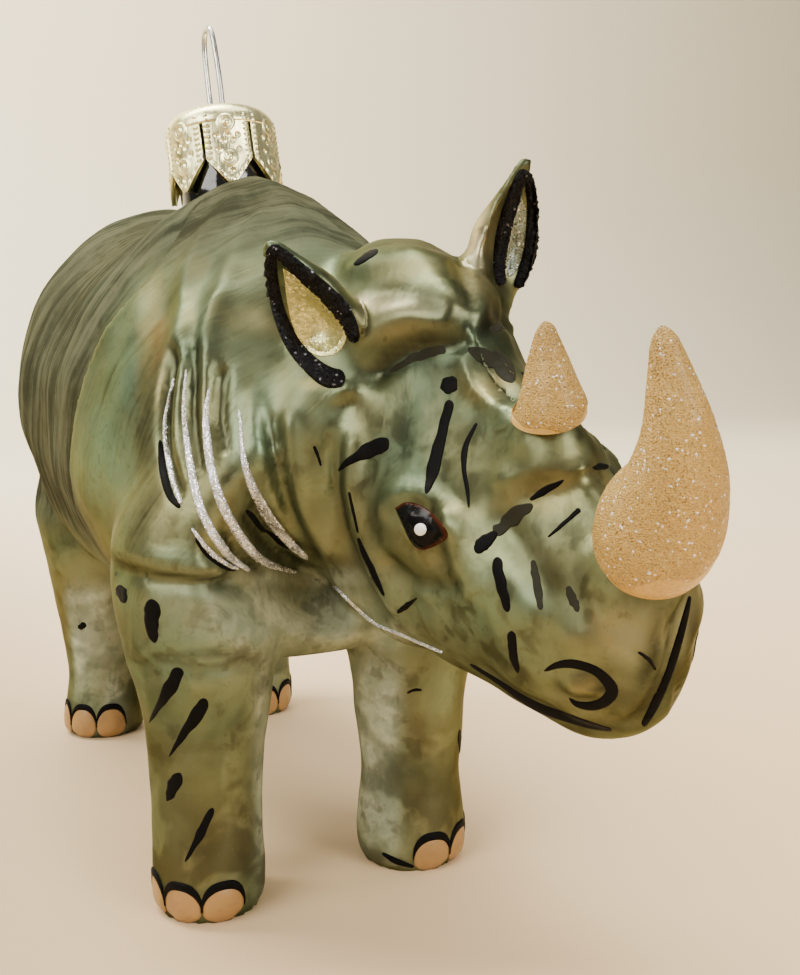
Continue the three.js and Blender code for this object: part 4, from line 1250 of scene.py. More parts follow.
def hide_material(looks, effects):
    """Olive lacquer over silvered glass: gold and sea-green patches, brushed grey, with painted shade in the folds
    and in dark spots; slate grey and duller on the back, and powdery where spray has settled. Some gold and
    sea-green spots and a bright spot behind the far ear are painted highlights."""
    material, graph, shader = blank("lacquered glass", Specular_IOR_Level=0.0, Specular_Tint=solid(looks.edge))
    place = graph.node("ShaderNodeTexCoord").outputs["Object"]
    on_head, on_leg = graph.stored("on_head"), graph.stored("on_leg")
    back, powder = graph.stored("back"), graph.stored("dust")

    calm = graph.between(graph.number("MAXIMUM", on_head, on_leg), 0.0, 1.0, 0.3, 0.8)

    def streaks(width, spot):
        trunk, head, leg = (graph.group(effects["brushwork"], Vector=graph.stored(name, "Vector"), Width=width)["Streaks"]
                            for name in ("stroke_trunk", "stroke_head", "stroke_leg"))
        brushed = graph.mixed(on_head, graph.mixed(on_leg, trunk, leg), head)
        return graph.mixed(calm, brushed, graph.group(effects["patches"], Vector=place, Size=spot, Cover=0.5)["Mask"])

    wide, fine = streaks(0.0034, 0.0052), streaks(0.0009, 0.0022)
    broad = graph.group(effects["patches"], Vector=place, Size=0.021, Cover=0.5)["Mask"]
    small = graph.group(effects["patches"], Vector=place, Size=0.0075, Cover=0.5)["Mask"]
    mottle = graph.group(effects["patches"], Vector=place, Size=0.0016, Cover=0.5)["Mask"]
    # gold: patches of gold lacquer, and painted highlights at the brow, ridge and nostril spots
    gold = graph.number("MULTIPLY", graph.stored("gold"), graph.between(small, 0.0, 1.0, 0.55, 1.0))
    gold = graph.number("MAXIMUM", gold, graph.number("MULTIPLY", broad, 0.25))
    # sea: pearly green lacquer, and on the shoulder a painted reflection
    sea = graph.number("MULTIPLY", graph.stored("sea"), graph.between(fine, 0.0, 1.0, 0.6, 1.0))
    sea = graph.number("MAXIMUM", sea, graph.number("MULTIPLY", graph.number("SUBTRACT", 1.0, broad), 0.2))
    colour = graph.blend(wide, solid(looks.olive_dark), solid(looks.olive))
    colour = graph.blend(gold, colour, solid(looks.gold))
    colour = graph.blend(sea, colour, solid(looks.sea))
    colour = graph.blend(graph.number("MULTIPLY", graph.stored("rust"), wide), colour, solid(looks.rust))
    worn = graph.number("MULTIPLY", graph.between(fine, 0.55, 1.0), graph.between(small, 0.2, 0.8, 0.03, 0.2))
    colour = graph.blend(worn, colour, solid(looks.pearl))
    # painted highlight: bright colour for the reflection on the back of the far ear, and a faint one on the muzzle
    colour = graph.blend(graph.stored("painted_highlight"), colour, solid(looks.painted_highlight))
    slate = graph.blend(graph.between(graph.number("ADD", wide, fine), 0.3, 1.7), solid(looks.slate_dark), solid(looks.slate))
    colour = graph.blend(graph.number("MULTIPLY", back, 0.85), colour, slate)
    spray = graph.blend(mottle, solid(looks.powder_dark), solid(looks.powder))
    colour = graph.blend(graph.number("MULTIPLY", powder, graph.between(small, 0.0, 1.0, 0.6, 0.9)), colour, spray)
    # darker brush streaks and specks, dark blotches that grow towards the feet, and painted shade from the dark spots
    # and the folds all darken the colour towards one dark grey
    dark_paint_and_painted_shade = graph.number("MULTIPLY", graph.between(fine, 0.5, 0.0), graph.between(wide, 1.0, 0.2, 0.12, 0.5))
    dark_paint_and_painted_shade = graph.number("MAXIMUM", dark_paint_and_painted_shade, graph.number("MULTIPLY", graph.stored("dark_paint_and_painted_shade"), 0.9))
    # painted shade in the creases and under the steps
    dark_paint_and_painted_shade = graph.number("MAXIMUM", dark_paint_and_painted_shade, graph.number("MULTIPLY", graph.stored("fold"), 0.85))
    blotch = graph.number("MULTIPLY", graph.stored("blotch"), graph.between(small, 0.75, 0.25, 0.0, 0.5))
    dark_paint_and_painted_shade = graph.number("MAXIMUM", dark_paint_and_painted_shade, blotch)
    specks = graph.group(effects["patches"], Vector=place, Size=0.0007, Cover=0.36)["Mask"]
    dark_paint_and_painted_shade = graph.number("MAXIMUM", dark_paint_and_painted_shade, graph.number("MULTIPLY", specks, 0.28))
    colour = graph.blend(dark_paint_and_painted_shade, colour, solid(looks.dark_paint_and_painted_shade))
    grains = graph.group(effects["grains"], Vector=place, Size=0.0002, Lean=0.5, Share=0.03)
    glints = graph.number("MULTIPLY", grains["Bright"], graph.between(powder, 0.0, 1.0, 0.05, 0.55))
    graph.feed(shader["Base Color"], graph.blend(glints, colour, solid(looks.pearl)))
    dull = graph.number("MAXIMUM", graph.number("MULTIPLY", back, 0.85), powder)
    graph.feed(shader["Metallic"], graph.between(dull, 0.0, 1.0, 0.85, 0.08))
    rough = graph.between(graph.number("ADD", small, fine), 0.0, 2.0, 0.33, 0.46)
    graph.feed(shader["Roughness"], graph.number("ADD", rough, graph.number("MULTIPLY", dull, 0.34)))
    relief = graph.number("ADD", graph.number("MULTIPLY", wide, 0.6), graph.number("MULTIPLY", fine, 0.4))
    relief = graph.number("ADD", relief, graph.number("MULTIPLY", mottle, graph.number("MULTIPLY", powder, 0.8)))
    graph.feed(shader["Normal"], graph.bump(relief, 0.3, 0.00012))
    return material


def glitter_material(name, colour, spark, effects, size, lean, share, metal=0.0, rough=0.55, bump=0.6, coat=0.7,
                     specular=0.5, cover=None):
    """Grains in clear glue: the surface leans with each grain, so some flash; cover fades them by an attribute."""
    material, graph, shader = blank(name, Metallic=metal, Coat_Weight=coat, Coat_Roughness=0.15,
                                    Specular_IOR_Level=specular)
    place = graph.node("ShaderNodeTexCoord").outputs["Object"]
    leaning = graph.number("MULTIPLY", graph.stored(cover), lean) if cover else lean
    grains = graph.group(effects["grains"], Vector=place, Size=size, Lean=leaning, Share=share)
    big = graph.group(effects["patches"], Vector=place, Size=0.004, Cover=0.5)["Mask"]
    tone = graph.blend(graph.number("MULTIPLY", grains["Tone"], 0.5), solid(colour), solid([c * 0.6 for c in colour]))
    tone = graph.blend(graph.number("MULTIPLY", big, 0.25), tone, solid([min(c * 1.25, 1) for c in colour]))
    bright = grains["Bright"]
    height = graph.number("ADD", grains["Height"], graph.number("MULTIPLY", grains["Tone"], 0.6))
    if cover:
        spread = graph.stored(cover)
        bright = graph.number("MULTIPLY", bright, spread)
        height = graph.number("MULTIPLY", height, spread)
    # painted glints: a share of the grains takes the bright spark colour, bright under any light
    graph.feed(shader["Base Color"], graph.blend(bright, tone, solid(spark)))
    graph.feed(shader["Roughness"], graph.between(grains["Tone"], 0.0, 1.0, rough - 0.15, rough + 0.15))
    graph.feed(shader["Normal"], graph.bump(height, bump, 0.00015, grains["Normal"]))
    return material


def enamel_material(name, colour, effects, rough=0.16, coat=0.6, specular=0.5, edge=None):
    """Brushed enamel: nearly even colour, thinner in streaks, glossy, with a slight wave."""
    material, graph, shader = blank(name, Coat_Weight=coat, Coat_Roughness=0.06, Specular_IOR_Level=specular)
    place = graph.node("ShaderNodeTexCoord").outputs["Object"]
    thin = graph.group(effects["patches"], Vector=place, Size=0.0016, Cover=0.4)["Mask"]
    colour_now = graph.blend(graph.number("MULTIPLY", thin, 0.3), solid(colour), solid([c * 1.5 + 0.003 for c in colour]))
    if edge:
        colour_now = graph.blend(graph.between(graph.stored("rim"), 0.84, 1.0), colour_now, solid(edge))
    graph.feed(shader["Base Color"], colour_now)
    graph.feed(shader["Roughness"], graph.between(thin, 0.0, 1.0, rough, rough + 0.14))
    graph.feed(shader["Normal"], graph.bump(thin, 0.3, 0.00008))
    return material


def metal_material(name, colour, effects, rough, width):
    """Thin plated metal: fine rubbed lines, uneven polish, darker in soft patches."""
    material, graph, shader = blank(name, Metallic=1.0)
    place = graph.node("ShaderNodeTexCoord").outputs["Object"]
    lines = graph.group(effects["brushwork"], Vector=place, Width=width)["Streaks"]
    dull = graph.group(effects["patches"], Vector=place, Size=0.003, Cover=0.45)["Mask"]
    colour_now = graph.blend(graph.number("MULTIPLY", dull, 0.22), solid(colour), solid([c * 0.62 for c in colour]))
    colour_now = graph.blend(graph.number("MULTIPLY", lines, 0.25), colour_now, solid([min(c * 1.2, 1) for c in colour]))
    graph.feed(shader["Base Color"], colour_now)
    graph.feed(shader["Roughness"], graph.between(graph.number("ADD", dull, lines), 0.0, 2.0, rough - 0.08, rough + 0.14))
    graph.feed(shader["Normal"], graph.bump(lines, 0.25, 0.00005))
    return material


def toe_material(looks, effects):
    """Flat satin paint with a darker wash in soft patches."""
    material, graph, shader = blank("toe paint", Coat_Weight=0.12, Coat_Roughness=0.3)
    place = graph.node("ShaderNodeTexCoord").outputs["Object"]
    wash = graph.group(effects["patches"], Vector=place, Size=0.0022, Cover=0.42)["Mask"]
    graph.feed(shader["Base Color"], graph.blend(graph.number("MULTIPLY", wash, 0.5), solid(looks.toe_peach),
                                                 solid([c * 0.66 for c in looks.toe_peach])))
    graph.feed(shader["Roughness"], graph.between(wash, 0.0, 1.0, 0.42, 0.6))
    graph.feed(shader["Normal"], graph.bump(wash, 0.35, 0.0001))
    return material


# ---- tints of the lacquer, among them painted shade and painted highlights: view place, half widths and strength of each soft spot ----
TINTS = {
    # pearly sea-green lacquer; the strongest spot, on the shoulder, is a painted reflection of the lamp on the left
    "sea": [
        (108, 452, 26, 52, 1.0), (124, 385, 16, 48, 0.7), (86, 360, 16, 40, 0.3), (262, 440, 13, 62, 0.75),
        (236, 420, 10, 60, 0.5), (300, 450, 12, 70, 0.45), (328, 452, 20, 60, 0.55), (420, 605, 56, 22, 0.7),
        (482, 612, 50, 34, 0.75), (402, 466, 38, 34, 0.4), (520, 645, 44, 30, 0.5), (366, 745, 24, 92, 0.5),
        (262, 760, 9, 92, 0.4), (300, 622, 60, 26, 0.6), (500, 420, 30, 26, 0.4), (180, 560, 40, 12, 0.4),
        (120, 600, 16, 20, 0.4), (84, 640, 8, 60, 0.4), (440, 690, 20, 20, 0.3), (610, 600, 22, 26, 0.25), (644, 636, 34, 26, 0.7),
    ],
    # gold lacquer patches; the spots on the near brow, on the ridge before the rear horn and on the nostril's bump are
    # painted highlights
    "gold": [
        (396, 318, 44, 22, 0.7), (424, 272, 52, 15, 0.55), (453, 300, 16, 20, 0.6), (484, 386, 22, 18, 0.85),
        (560, 492, 32, 22, 0.75), (606, 452, 14, 26, 0.4), (548, 646, 42, 20, 0.4), (586, 684, 15, 9, 0.9),
        (612, 632, 50, 22, 0.7), (488, 236, 22, 56, 0.4), (428, 560, 30, 12, 0.45), (232, 740, 24, 100, 0.2),
        (430, 752, 26, 60, 0.25), (152, 330, 14, 66, 0.55), (124, 500, 30, 22, 0.4), (150, 545, 40, 16, 0.35),
        (318, 320, 26, 34, 0.7), (214, 225, 30, 44, 0.2), (380, 420, 30, 20, 0.3), (312, 384, 20, 6, 0.7),
        (200, 700, 20, 80, 0.2), (100, 690, 18, 40, 0.2), (450, 440, 30, 40, 0.3), (600, 560, 14, 24, 0.4),
    ],
    "rust": [
        (159, 350, 8, 48, 0.9), (143, 410, 6, 56, 0.5), (228, 470, 6, 60, 0.4), (204, 455, 5, 50, 0.3),
        (360, 410, 12, 30, 0.3), (470, 460, 10, 30, 0.3), (160, 500, 12, 30, 0.4), (560, 560, 20, 10, 0.3),
        (440, 820, 22, 12, 0.4), (180, 870, 30, 14, 0.35),
    ],
    # soft dark spots, mostly painted shade (the far side of the muzzle, under the mouth, the far left of the rump),
    # some dark paint, as on the crown
    "dark_paint_and_painted_shade": [
        (694, 636, 12, 56, 1.0), (676, 676, 14, 34, 0.8), (606, 728, 60, 5, 0.7), (492, 356, 26, 12, 0.5),
        (300, 408, 18, 26, 0.4), (60, 300, 26, 60, 0.35), (40, 420, 14, 60, 0.3), (598, 446, 8, 22, 0.45),
        (505, 325, 10, 40, 0.4), (230, 175, 30, 16, 0.3), (270, 250, 30, 40, 0.25), (386, 505, 14, 16, 0.35), (405, 286, 64, 40, 0.62),
        (226, 315, 36, 48, 0.65), (452, 290, 16, 40, 0.25),
        (150, 232, 20, 18, 0.4), (310, 395, 14, 6, 0.5), (350, 560, 14, 30, 0.3), (645, 572, 20, 10, 0.4),
    ],
    # painted highlights: the bright reflection on the back of the far ear, and a faint one on the muzzle
    "painted_highlight": [(474, 225, 10, 36, 0.9), (644, 636, 34, 24, 0.22)],
    "dust": [
        (290, 620, 76, 34, 1.0), (264, 760, 9, 110, 1.0), (364, 745, 24, 110, 1.0), (300, 580, 60, 12, 0.8),
        (380, 640, 26, 16, 0.8), (240, 640, 20, 12, 0.6),
    ],
}


def tint_fields(points, normals, shares):
    """Each tint at every point: the strongest of its soft spots, seen from the camera or in the mirror."""
    fields = {name: np.zeros(len(points)) for name in TINTS}
    head = shares["head"]
    for about in ("none", "head", "body"):
        seen, faced = (points, normals) if about == "none" else reflected(points, normals, about)
        places, _ = to_view(seen)
        facing = smooth(np.einsum("ij,ij->i", faced, unit(EYE_POINT - seen)), -0.05, 0.25)
        weight = facing * (1.0 if about == "none" else head if about == "head" else 1 - head)
        for name, spots in TINTS.items():
            for x, y, wide, tall, strength in spots:
                reach = ((places[:, 0] - x) / wide) ** 2 + ((places[:, 1] - y) / tall) ** 2
                fields[name] = np.maximum(fields[name], strength * weight * np.exp(-0.7 * reach))
    return fields


def stroke_fields(points, shares):
    """Where the brush ran on each part: the first number crosses the streaks, the others follow them, in
    metres. On the head it ran down in the view's upright, on the trunk in leaning rings, on a leg down it."""
    ahead, left, up = off_head(points)
    x, y, z = points.T
    centres = np.array([[x0, y0] for x0, y0, _ in LEGS.values()])
    away = points[:, None, :2] - centres[None]
    nearest = np.linalg.norm(away, axis=2).argmin(1)
    spoke = away[np.arange(len(points)), nearest]
    return {
        "stroke_head": np.stack([0.4545 * ahead - 0.89 * np.abs(left), up, 0.5 * left], -1) * MM,
        "stroke_trunk": np.stack([y + 0.32 * (z - 50), x, z], -1) * MM,
        "stroke_leg": np.stack([6 * np.arctan2(spoke[:, 0], -spoke[:, 1]), 5 * z, 50.0 * nearest], -1) * MM,
        "on_head": shares["head"],
        "on_leg": 1 - smooth(z, 26, 33),
        "back": np.maximum(smooth(y, -18, -12) * smooth(z, 28, 36), smooth(z, 57, 66)) * (1 - shares["head"]),
        "blotch": (1 - smooth(z, 6, 22)) * 0.8 + 0.35 * (1 - smooth(z, 22, 32)),
    }


def store(mesh, name, values):
    flat = np.ascontiguousarray(values, np.float32)
    if flat.ndim == 2:
        mesh.attributes.new(name, "FLOAT_VECTOR", "POINT").data.foreach_set("vector", flat.reshape(-1))
    else:
        mesh.attributes.new(name, "FLOAT", "POINT").data.foreach_set("value", flat)


# ---- stage ----
def stage_surface():
    """A floor that bends up into a wall behind: straight, a quarter circle, straight."""
    bend, deep, tall, wide, front = 0.35, 0.75, 1.6, 1.8, -1.2
    floor = np.stack([np.linspace(front, deep, 20), np.zeros(20)], -1)
    a = np.linspace(0, np.pi / 2, 24)[1:]
    curve = np.stack([deep + bend * np.sin(a), bend * (1 - np.cos(a))], -1)
    wall = np.stack([np.full(10, deep + bend), np.linspace(bend, tall, 11)[1:]], -1)
    profile = np.concatenate([floor, curve, wall])
    across = np.linspace(-wide, wide, 25)
    points = np.stack([np.broadcast_to(across[None], (len(profile), 25)),
                       np.broadcast_to(profile[:, :1], (len(profile), 25)),
                       np.broadcast_to(profile[:, 1:], (len(profile), 25))], -1)
    i, j = np.meshgrid(np.arange(len(profile) - 1), np.arange(24), indexing="ij")
    faces = np.stack([i * 25 + j, i * 25 + j + 1, (i + 1) * 25 + j + 1, (i + 1) * 25 + j], -1).reshape(-1, 4)
    return points.reshape(-1, 3), [faces]


def stage_material(looks):
    """Pale matt paper, warmer towards the camera, with a faint tooth, and a painted shade that darkens the floor
    towards the left.
    """
    material, graph, shader = blank("pale paper", Specular_IOR_Level=0.3)
    place = graph.node("ShaderNodeTexCoord").outputs["Object"]
    parts = graph.node("ShaderNodeSeparateXYZ", {0: place})
    near = graph.between(parts.outputs[1], 0.5, -0.2)
    cloud = graph.node("ShaderNodeTexNoise", {"Vector": place, "Scale": 3.0, "Detail": 2.0}).outputs["Fac"]
    colour = graph.blend(near, solid(looks.wall), solid(looks.floor))
    colour = graph.blend(graph.between(cloud, 0.3, 0.7, 0.0, 0.1), colour, solid([c * 0.9 for c in looks.floor]))
    tooth = graph.node("ShaderNodeTexNoise", {"Vector": place, "Scale": 900.0, "Detail": 3.0}).outputs["Fac"]
    # painted shade: the floor near the camera darkens towards the left
    painted_floor_shade = graph.number("MULTIPLY", graph.between(parts.outputs[0], 0.02, -0.045, 0.0, 1.0), near)
    graph.feed(shader["Base Color"], graph.blend(painted_floor_shade, colour, solid([c * 0.5 for c in looks.floor])))
    graph.feed(shader["Roughness"], graph.between(tooth, 0.0, 1.0, 0.5, 0.75))
    graph.feed(shader["Normal"], graph.bump(tooth, 0.05, 0.0002))
    return material


LAMPS = [   # place, aim, width and height, power, colour
    ("window left", (-0.55, -0.25, 0.42), (0.0, 0.0, 0.05), (0.5, 0.45), 5.5, (1.0, 0.96, 0.88)),
    ("ceiling", (0.05, 0.05, 0.75), (0.0, 0.0, 0.03), (0.6, 0.5), 3.2, (1.0, 0.95, 0.86)),
    ("front soft", (0.25, -0.6, 0.3), (0.02, 0.0, 0.05), (0.3, 0.3), 3.5, (1.0, 0.94, 0.85)),
    ("back wall", (-0.3, 0.3, 0.9), (0.0, 1.0, 0.35), (0.8, 0.4), 33.0, (1.0, 0.96, 0.87)),
]


def camera_and_stage(looks):
    data = bpy.data.cameras.new("view")
    data.sensor_width = SENSOR
    data.clip_start = 0.005
    data.lens = FOCAL / VIEW_SIZE[1] * SENSOR
    camera = bpy.data.objects.new("view", data)
    bpy.context.scene.collection.objects.link(camera)
    turn = np.eye(4)
    turn[:3, 0], turn[:3, 1], turn[:3, 2] = RIGHT, UP, -FORWARD
    turn[:3, 3] = (EYE_POINT + SET_DOWN) * MM
    camera.matrix_world = Matrix(turn.tolist())
    bpy.context.scene.camera = camera
    floor = bpy.data.objects.new("floor_and_wall", mesh_of("floor_and_wall", *stage_surface()))
    bpy.context.scene.collection.objects.link(floor)
    floor.data.materials.append(stage_material(looks))
    for name, place, aim, size, power, colour in LAMPS:
        lamp = bpy.data.lights.new(name, "AREA")
        lamp.shape, lamp.size, lamp.size_y, lamp.energy, lamp.color = "RECTANGLE", *size, power, colour
        obj = bpy.data.objects.new(name, lamp)
        bpy.context.scene.collection.objects.link(obj)
        way = Vector(aim) - Vector(place)
        obj.matrix_world = Matrix.Translation(place) @ way.to_track_quat("-Z", "Y").to_matrix().to_4x4()
    world = bpy.data.worlds.new("soft room")
    bpy.context.scene.world = world
    world.use_nodes = True
    graph = Graph(world.node_tree)
    back = next(node for node in world.node_tree.nodes if node.type == "BACKGROUND")
    parts = graph.node("ShaderNodeSeparateXYZ", {0: graph.node("ShaderNodeTexCoord").outputs["Generated"]})
    high = graph.between(parts.outputs[2], -0.2, 0.9)
    graph.feed(back.inputs["Color"], graph.blend(high, solid(looks.room_low), solid(looks.room_high)))
    back.inputs["Strength"].default_value = 0.45


# ---- the pieces as operators ----
def colour_setting(name, description, value):
    return bpy.props.FloatVectorProperty(name=name, description=description, subtype="COLOR", size=3, min=0.0,
                                         max=1.0, default=value)


def length_setting(name, description, value):
    return bpy.props.FloatProperty(name=name, description=description, unit="LENGTH", min=0.0, default=value,
                                   precision=5)


class OrnamentLooks(bpy.types.PropertyGroup):
    """Sizes and colours of the ornament."""
    skin_grain: length_setting("Skin grain", "Edge length of the skin's faces", 0.00056)
    stroke_height: length_setting("Stroke height", "How thick the black strokes stand", 0.00006)
    line_height: length_setting("Line height", "How thick the fine black lines stand", 0.00006)
    stripe_height: length_setting("Stripe height", "How thick the silver glitter stands", 0.00014)
    eye_height: length_setting("Eye height", "How far the enamel eye bulges", 0.0009)
    horn_grain: length_setting("Horn grain", "Height of the glitter grains on the horns", 0.00006)
    olive: colour_setting("Olive", "Lacquer of the body", (0.138, 0.18, 0.1))
    olive_dark: colour_setting("Dark olive", "Lacquer between the brush marks", (0.057, 0.075, 0.043))
    gold: colour_setting("Gold", "Gold patches", (0.35, 0.275, 0.1))
    sea: colour_setting("Sea green", "Pearly green patches", (0.15, 0.25, 0.17))
    rust: colour_setting("Rust", "Orange-brown brush marks", (0.16, 0.095, 0.035))
    pearl: colour_setting("Pearl", "Worn and dusted places", (0.27, 0.29, 0.17))
    slate: colour_setting("Slate", "Brushed grey on the back", (0.096, 0.096, 0.06))
    slate_dark: colour_setting("Dark slate", "Between the brush marks on the back", (0.027, 0.028, 0.018))
    powder: colour_setting("Powder", "Settled spray on the chest and the inner legs", (0.52, 0.55, 0.4))
    powder_dark: colour_setting("Dark powder", "Settled spray, its darker specks", (0.36, 0.4, 0.29))
    # painted highlight: the bright reflection on the back of the far ear, also a faint one on the muzzle
    painted_highlight: colour_setting("Shine", "Bare silvering behind the far ear", (0.8, 0.7, 0.44))
    edge: colour_setting("Edge", "Tint of the lacquer seen along its surface", (0.55, 0.52, 0.42))
    dark_paint_and_painted_shade: colour_setting("Smoke", "Dark grey paint in the folds", (0.026, 0.026, 0.017))
    horn_peach: colour_setting("Horn", "Peach lacquer of the horns", (0.56, 0.345, 0.08))
    # dark colour of the painted shade in the folds and dark spots, and of the darker paint in brush streaks and specks
    toe_peach: colour_setting("Toes", "Paint of the toenails", (0.335, 0.185, 0.058))
    black: colour_setting("Black", "Enamel of the strokes and eyes", (0.003, 0.003, 0.003))
    grey: colour_setting("Grey", "Thin grey brush marks", (0.018, 0.018, 0.011))
    silver: colour_setting("Silver", "Glitter stripes", (0.78, 0.8, 0.82))
    lining_gold: colour_setting("Gold lining", "Inside of the near ear", (0.7, 0.68, 0.3))
    # painted shade: the far ear's lining is darker than the near one's, as well as bluer
    lining_blue_painted_shade: colour_setting("Blue lining", "Inside of the far ear", (0.26, 0.31, 0.25))
    cap_silver: colour_setting("Cap", "Pressed cap", (1.0, 0.94, 0.5))
    wire_steel: colour_setting("Wire", "Hanging loop", (0.66, 0.66, 0.62))
    wall: colour_setting("Wall", "Backdrop", (0.84, 0.765, 0.575))
    floor: colour_setting("Floor", "Floor under the ornament", (0.86, 0.6, 0.34))
    room_low: colour_setting("Room below", "Light of the room from below", (0.23, 0.215, 0.175))
    room_high: colour_setting("Room above", "Light of the room from above", (0.8, 0.79, 0.75))


VIEWS, EFFECTS = {}, {}


class BuildSkin(bpy.types.Operator):
    """The whole animal as one lacquered glass skin"""
    bl_idname = "ornament.build_skin"
    bl_label = "Lacquered skin"

    def execute(self, context):
        looks = context.scene.ornament_looks
        EFFECTS.update(shared_effects())
        points, quads, fold, shares = skin_surface(looks.skin_grain / MM)
        skin = piece("skin", points, [quads], hide_material(looks, EFFECTS), "hide")
        normals = vertex_normals(points, quads)
        # fold holds painted shade: how far the lacquer is darkened in the creases and under the steps
        store(skin.data, "fold", fold)
        for name, values in {**stroke_fields(points, shares), **tint_fields(points, normals, shares)}.items():
            store(skin.data, name, values)
        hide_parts("torso", "neck", "head", "tail", "ear_right", "ear_left", *LEGS)
        VIEWS.update(skin_views(points, normals, quads, shares["head"]))
        return {"FINISHED"}


class BuildPaint(bpy.types.Operator):
    """Black and grey brush strokes, the lips, the nostrils and the fine lines, some of them painted shadows beside the
    stripes
    """
    bl_idname = "ornament.build_paint"
    bl_label = "Brush strokes"

    def execute(self, context):
        looks = context.scene.ornament_looks
        black = enamel_material("black enamel", looks.black, EFFECTS, rough=0.55, coat=0.0, specular=0.05)
        grey = enamel_material("thin grey paint", looks.grey, EFFECTS, rough=0.55, coat=0.0, specular=0.08)
        piece("strokes", *bands(VIEWS, STROKES, looks.stroke_height / MM, ragged=0.16), black, "paint_black")
        piece("fine_lines", *bands(VIEWS, LINES, looks.line_height / MM), black, "paint_black")
        piece("grey_strokes", *bands(VIEWS, GREY_STROKES, 0.015, ragged=0.25), grey, "paint_black")
        return {"FINISHED"}


class BuildStripes(bpy.types.Operator):
    """Silver glitter stripes across the neck and a thin line along the jaw"""
    bl_idname = "ornament.build_stripes"
    bl_label = "Glitter stripes"

    def execute(self, context):
        looks = context.scene.ornament_looks
        silver = glitter_material("silver glitter", looks.silver, (1.0, 1.0, 1.0), EFFECTS, 0.00022, 1.1, 0.2,
                                  metal=0.7, rough=0.35)
        piece("stripes", *bands(VIEWS, STRIPES, looks.stripe_height / MM, grain=0.07, seed=11), silver, "glitter_silver")
        return {"FINISHED"}


class BuildEyes(bpy.types.Operator):
    """Glossy drops of enamel with a white dot"""
    bl_idname = "ornament.build_eyes"
    bl_label = "Eyes"

    def execute(self, context):
        looks = context.scene.ornament_looks
        black = enamel_material("eye enamel", looks.black, EFFECTS, rough=0.2, coat=0.0, specular=0.05,
                                edge=(0.05, 0.012, 0.005))
        white = enamel_material("white enamel", (0.8, 0.8, 0.76), EFFECTS, rough=0.3)
        circle = [(EYE_SPOT[0] + EYE_SPOT_SIZE * np.cos(a), EYE_SPOT[1] + EYE_SPOT_SIZE * np.sin(a))
                  for a in 2 * np.pi * np.arange(8) / 8]
        for about, name in (("near", "eye_right"), ("head", "eye_left")):
            points, groups = laid_patch(VIEWS[about], EYE_OUTLINE, looks.eye_height / MM, sides=96, rings=24)
            points, groups = outward(back_again(points, about), groups)
            eye = piece(name + "_enamel", points, groups, black, "eye")
            share = np.concatenate([np.repeat(np.linspace(0, 1, 25)[1:], 96), np.ones(96), [0, 1]])
            store(eye.data, "rim", share)
            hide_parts(name)
            lifted = eye_view(points, groups, about)
            points, groups = laid_patch(lifted, circle, 0.1, sides=40, rings=6)
            piece(name + "_dot", *outward(back_again(points, about), groups), white, "eye")
        return {"FINISHED"}


class BuildFeet(bpy.types.Operator):
    """Painted nails and the black arches round them"""
    bl_idname = "ornament.build_feet"
    bl_label = "Toenails"

    def execute(self, context):
        looks = context.scene.ornament_looks
        nails = [toe_shape(VIEWS["near"], leg, turn) for leg in LEGS for turn in TOE_TURNS]
        arches = [toe_line(VIEWS["near"], leg, turn) for leg in LEGS for turn in TOE_TURNS]
        piece("toenails", *joined(nails), toe_material(looks, EFFECTS), "toe_paint")
        piece("toe_arches", *joined(arches), enamel_material("toe outline", looks.black, EFFECTS, rough=0.55,
                                                                      coat=0.0, specular=0.05), "paint_black")
        return {"FINISHED"}


class BuildEars(bpy.types.Operator):
    """Black glitter round the ears and a glittering leaf inside each"""
    bl_idname = "ornament.build_ears"
    bl_label = "Ear trim"

    def execute(self, context):
        looks = context.scene.ornament_looks
        rim = glitter_material("black glitter", (0.004, 0.004, 0.005), (0.25, 0.25, 0.28), EFFECTS, 0.00018, 0.9, 0.012,
                               rough=0.55, bump=0.5, coat=0.0, specular=0.15)
        # the far ear's lining takes the darker colour: painted shade
        linings = {"ear_right": looks.lining_gold, "ear_left": looks.lining_blue_painted_shade}
        for seed, (name, colour) in enumerate(linings.items()):
            line, width = EAR_TRIM[name]
            band = laid_band(VIEWS["near"], line, width, 0.34, taper=0.03, across=17, step=1.6, grain=0.26, seed=seed)
            piece(name + "_rim", *band, rim, "ear")
            coarse = (0.3, 0.015, 0.15) if name == "ear_right" else (0.7, 0.05, 0.4)
            lining = glitter_material(name + " lining", colour, (1.0, 0.97, 0.88), EFFECTS, 0.0002, *coarse[:2],
                                      metal=0.75, rough=0.38, bump=coarse[2], coat=0.3)
            leaf = laid_patch(VIEWS["near"], EAR_LEAF[name], 0.05, sides=96, rings=30, grain=0.05, seed=seed)
            piece(name + "_lining", *leaf, lining, "ear")
        return {"FINISHED"}


class BuildHorns(bpy.types.Operator):
    """Peach horns under clear glitter, with a bare rim at the foot"""
    bl_idname = "ornament.build_horns"
    bl_label = "Horns"

    def execute(self, context):
        looks = context.scene.ornament_looks
        peach = glitter_material("peach glitter", looks.horn_peach, (1.0, 0.9, 0.8), EFFECTS, 0.00016, 0.85, 0.03,
                                 rough=0.5, bump=1.0, coat=0.2, cover="cover")
        for name, rows, seed in (("horn_front", HORN_FRONT, 5), ("horn_rear", HORN_REAR, 8)):
            points, groups, cover = horn_shape(rows, 190, 200, looks.horn_grain / MM, seed, 0.16)
            horn = piece(name + "_glitter", points, groups, peach, "horn_glitter")
            store(horn.data, "cover", cover)
            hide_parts(name)
        return {"FINISHED"}


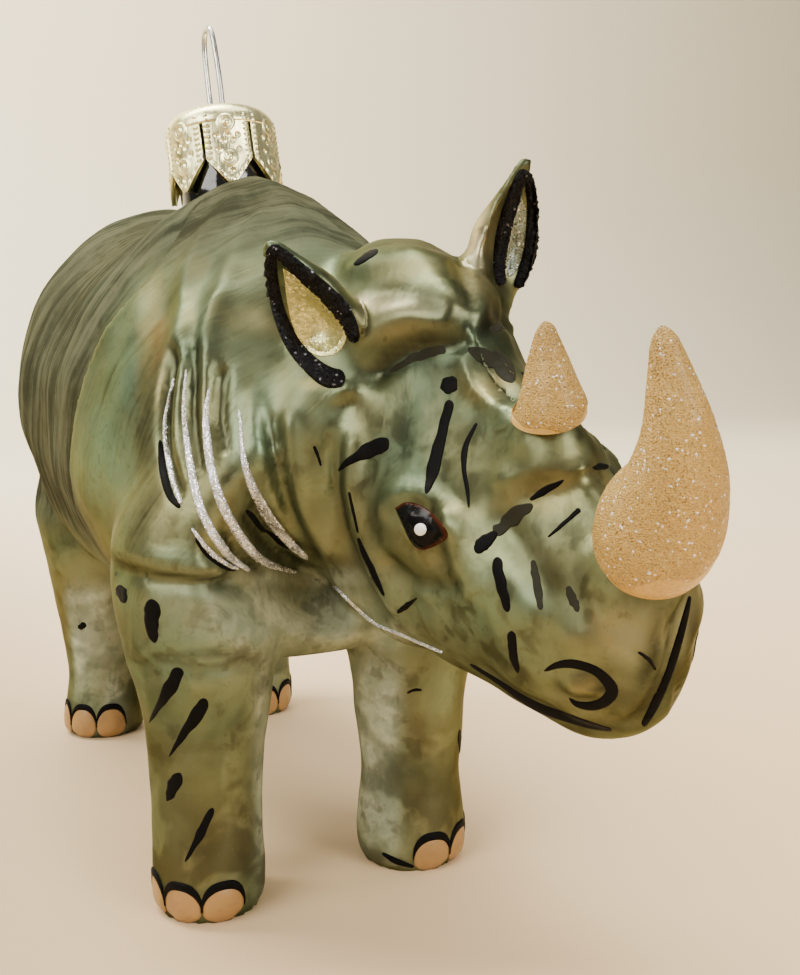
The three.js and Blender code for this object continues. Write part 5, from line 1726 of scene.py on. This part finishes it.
class BuildFittings(bpy.types.Operator):
    """Glass neck, pressed cap and wire loop"""
    bl_idname = "ornament.build_fittings"
    bl_label = "Cap and loop"

    def execute(self, context):
        looks = context.scene.ornament_looks
        black = enamel_material("neck lacquer", looks.black, EFFECTS, rough=0.08, coat=0.8)
        silver = metal_material("pressed cap", looks.cap_silver, EFFECTS, 0.3, 0.0005)
        steel = metal_material("steel wire", looks.wire_steel, EFFECTS, 0.26, 0.0003)
        radius, bore, foot, top, depth = (NECK_TUBE[key] for key in ("radius", "bore", "foot", "top", "depth"))
        profile = [(0, foot), (radius - 0.2, foot), (radius, foot + 0.2), (radius, top - 0.3), (radius - 0.3, top),
                   (bore + 0.2, top), (bore, top - 0.3), (bore, top - depth), (0, top - depth)]
        neck = piece("neck_tube", *lathe_shape(profile), black, "neck_black")
        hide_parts("glass_neck")
        petals = [petal_shape(k) for k in range(CAP["petals"])]
        cap = piece("cap_sheet", *joined(petals + [crown_shape()]), silver, "cap_metal")
        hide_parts("cap")
        loop = piece("loop_wire", *wire_shape(), steel, "wire")
        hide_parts("hanging_loop")
        return {"FINISHED"}


class BuildStage(bpy.types.Operator):
    """Camera, floor, backdrop, lamps and the light of the room"""
    bl_idname = "ornament.build_stage"
    bl_label = "Stage"

    def execute(self, context):
        camera_and_stage(context.scene.ornament_looks)
        return {"FINISHED"}


STEPS_IN_ORDER = (BuildStage, BuildSkin, BuildPaint, BuildStripes, BuildEyes, BuildFeet, BuildEars, BuildHorns,
                  BuildFittings)


class OrnamentPanel(bpy.types.Panel):
    """Sizes, colours and steps of the ornament"""
    bl_idname = "VIEW3D_PT_ornament"
    bl_label = "Glass rhinoceros"
    bl_space_type = "VIEW_3D"
    bl_region_type = "UI"
    bl_category = "Ornament"

    def draw(self, context):
        looks = context.scene.ornament_looks
        for name in OrnamentLooks.__annotations__:
            self.layout.prop(looks, name)
        for step in STEPS_IN_ORDER:
            self.layout.operator(step.bl_idname)


CLASSES = (OrnamentLooks, *STEPS_IN_ORDER, OrnamentPanel)


def register():
    for kind in CLASSES:
        bpy.utils.register_class(kind)
    bpy.types.Scene.ornament_looks = bpy.props.PointerProperty(type=OrnamentLooks)


def unregister():
    del bpy.types.Scene.ornament_looks
    for kind in reversed(CLASSES):
        bpy.utils.unregister_class(kind)


def main():
    register()
    for step in STEPS_IN_ORDER:
        name = step.bl_idname.split(".")[1]
        if getattr(bpy.ops.ornament, name)() != {"FINISHED"}:
            raise RuntimeError(step.bl_label + " was not finished")


if __name__ == "__main__":
    main()
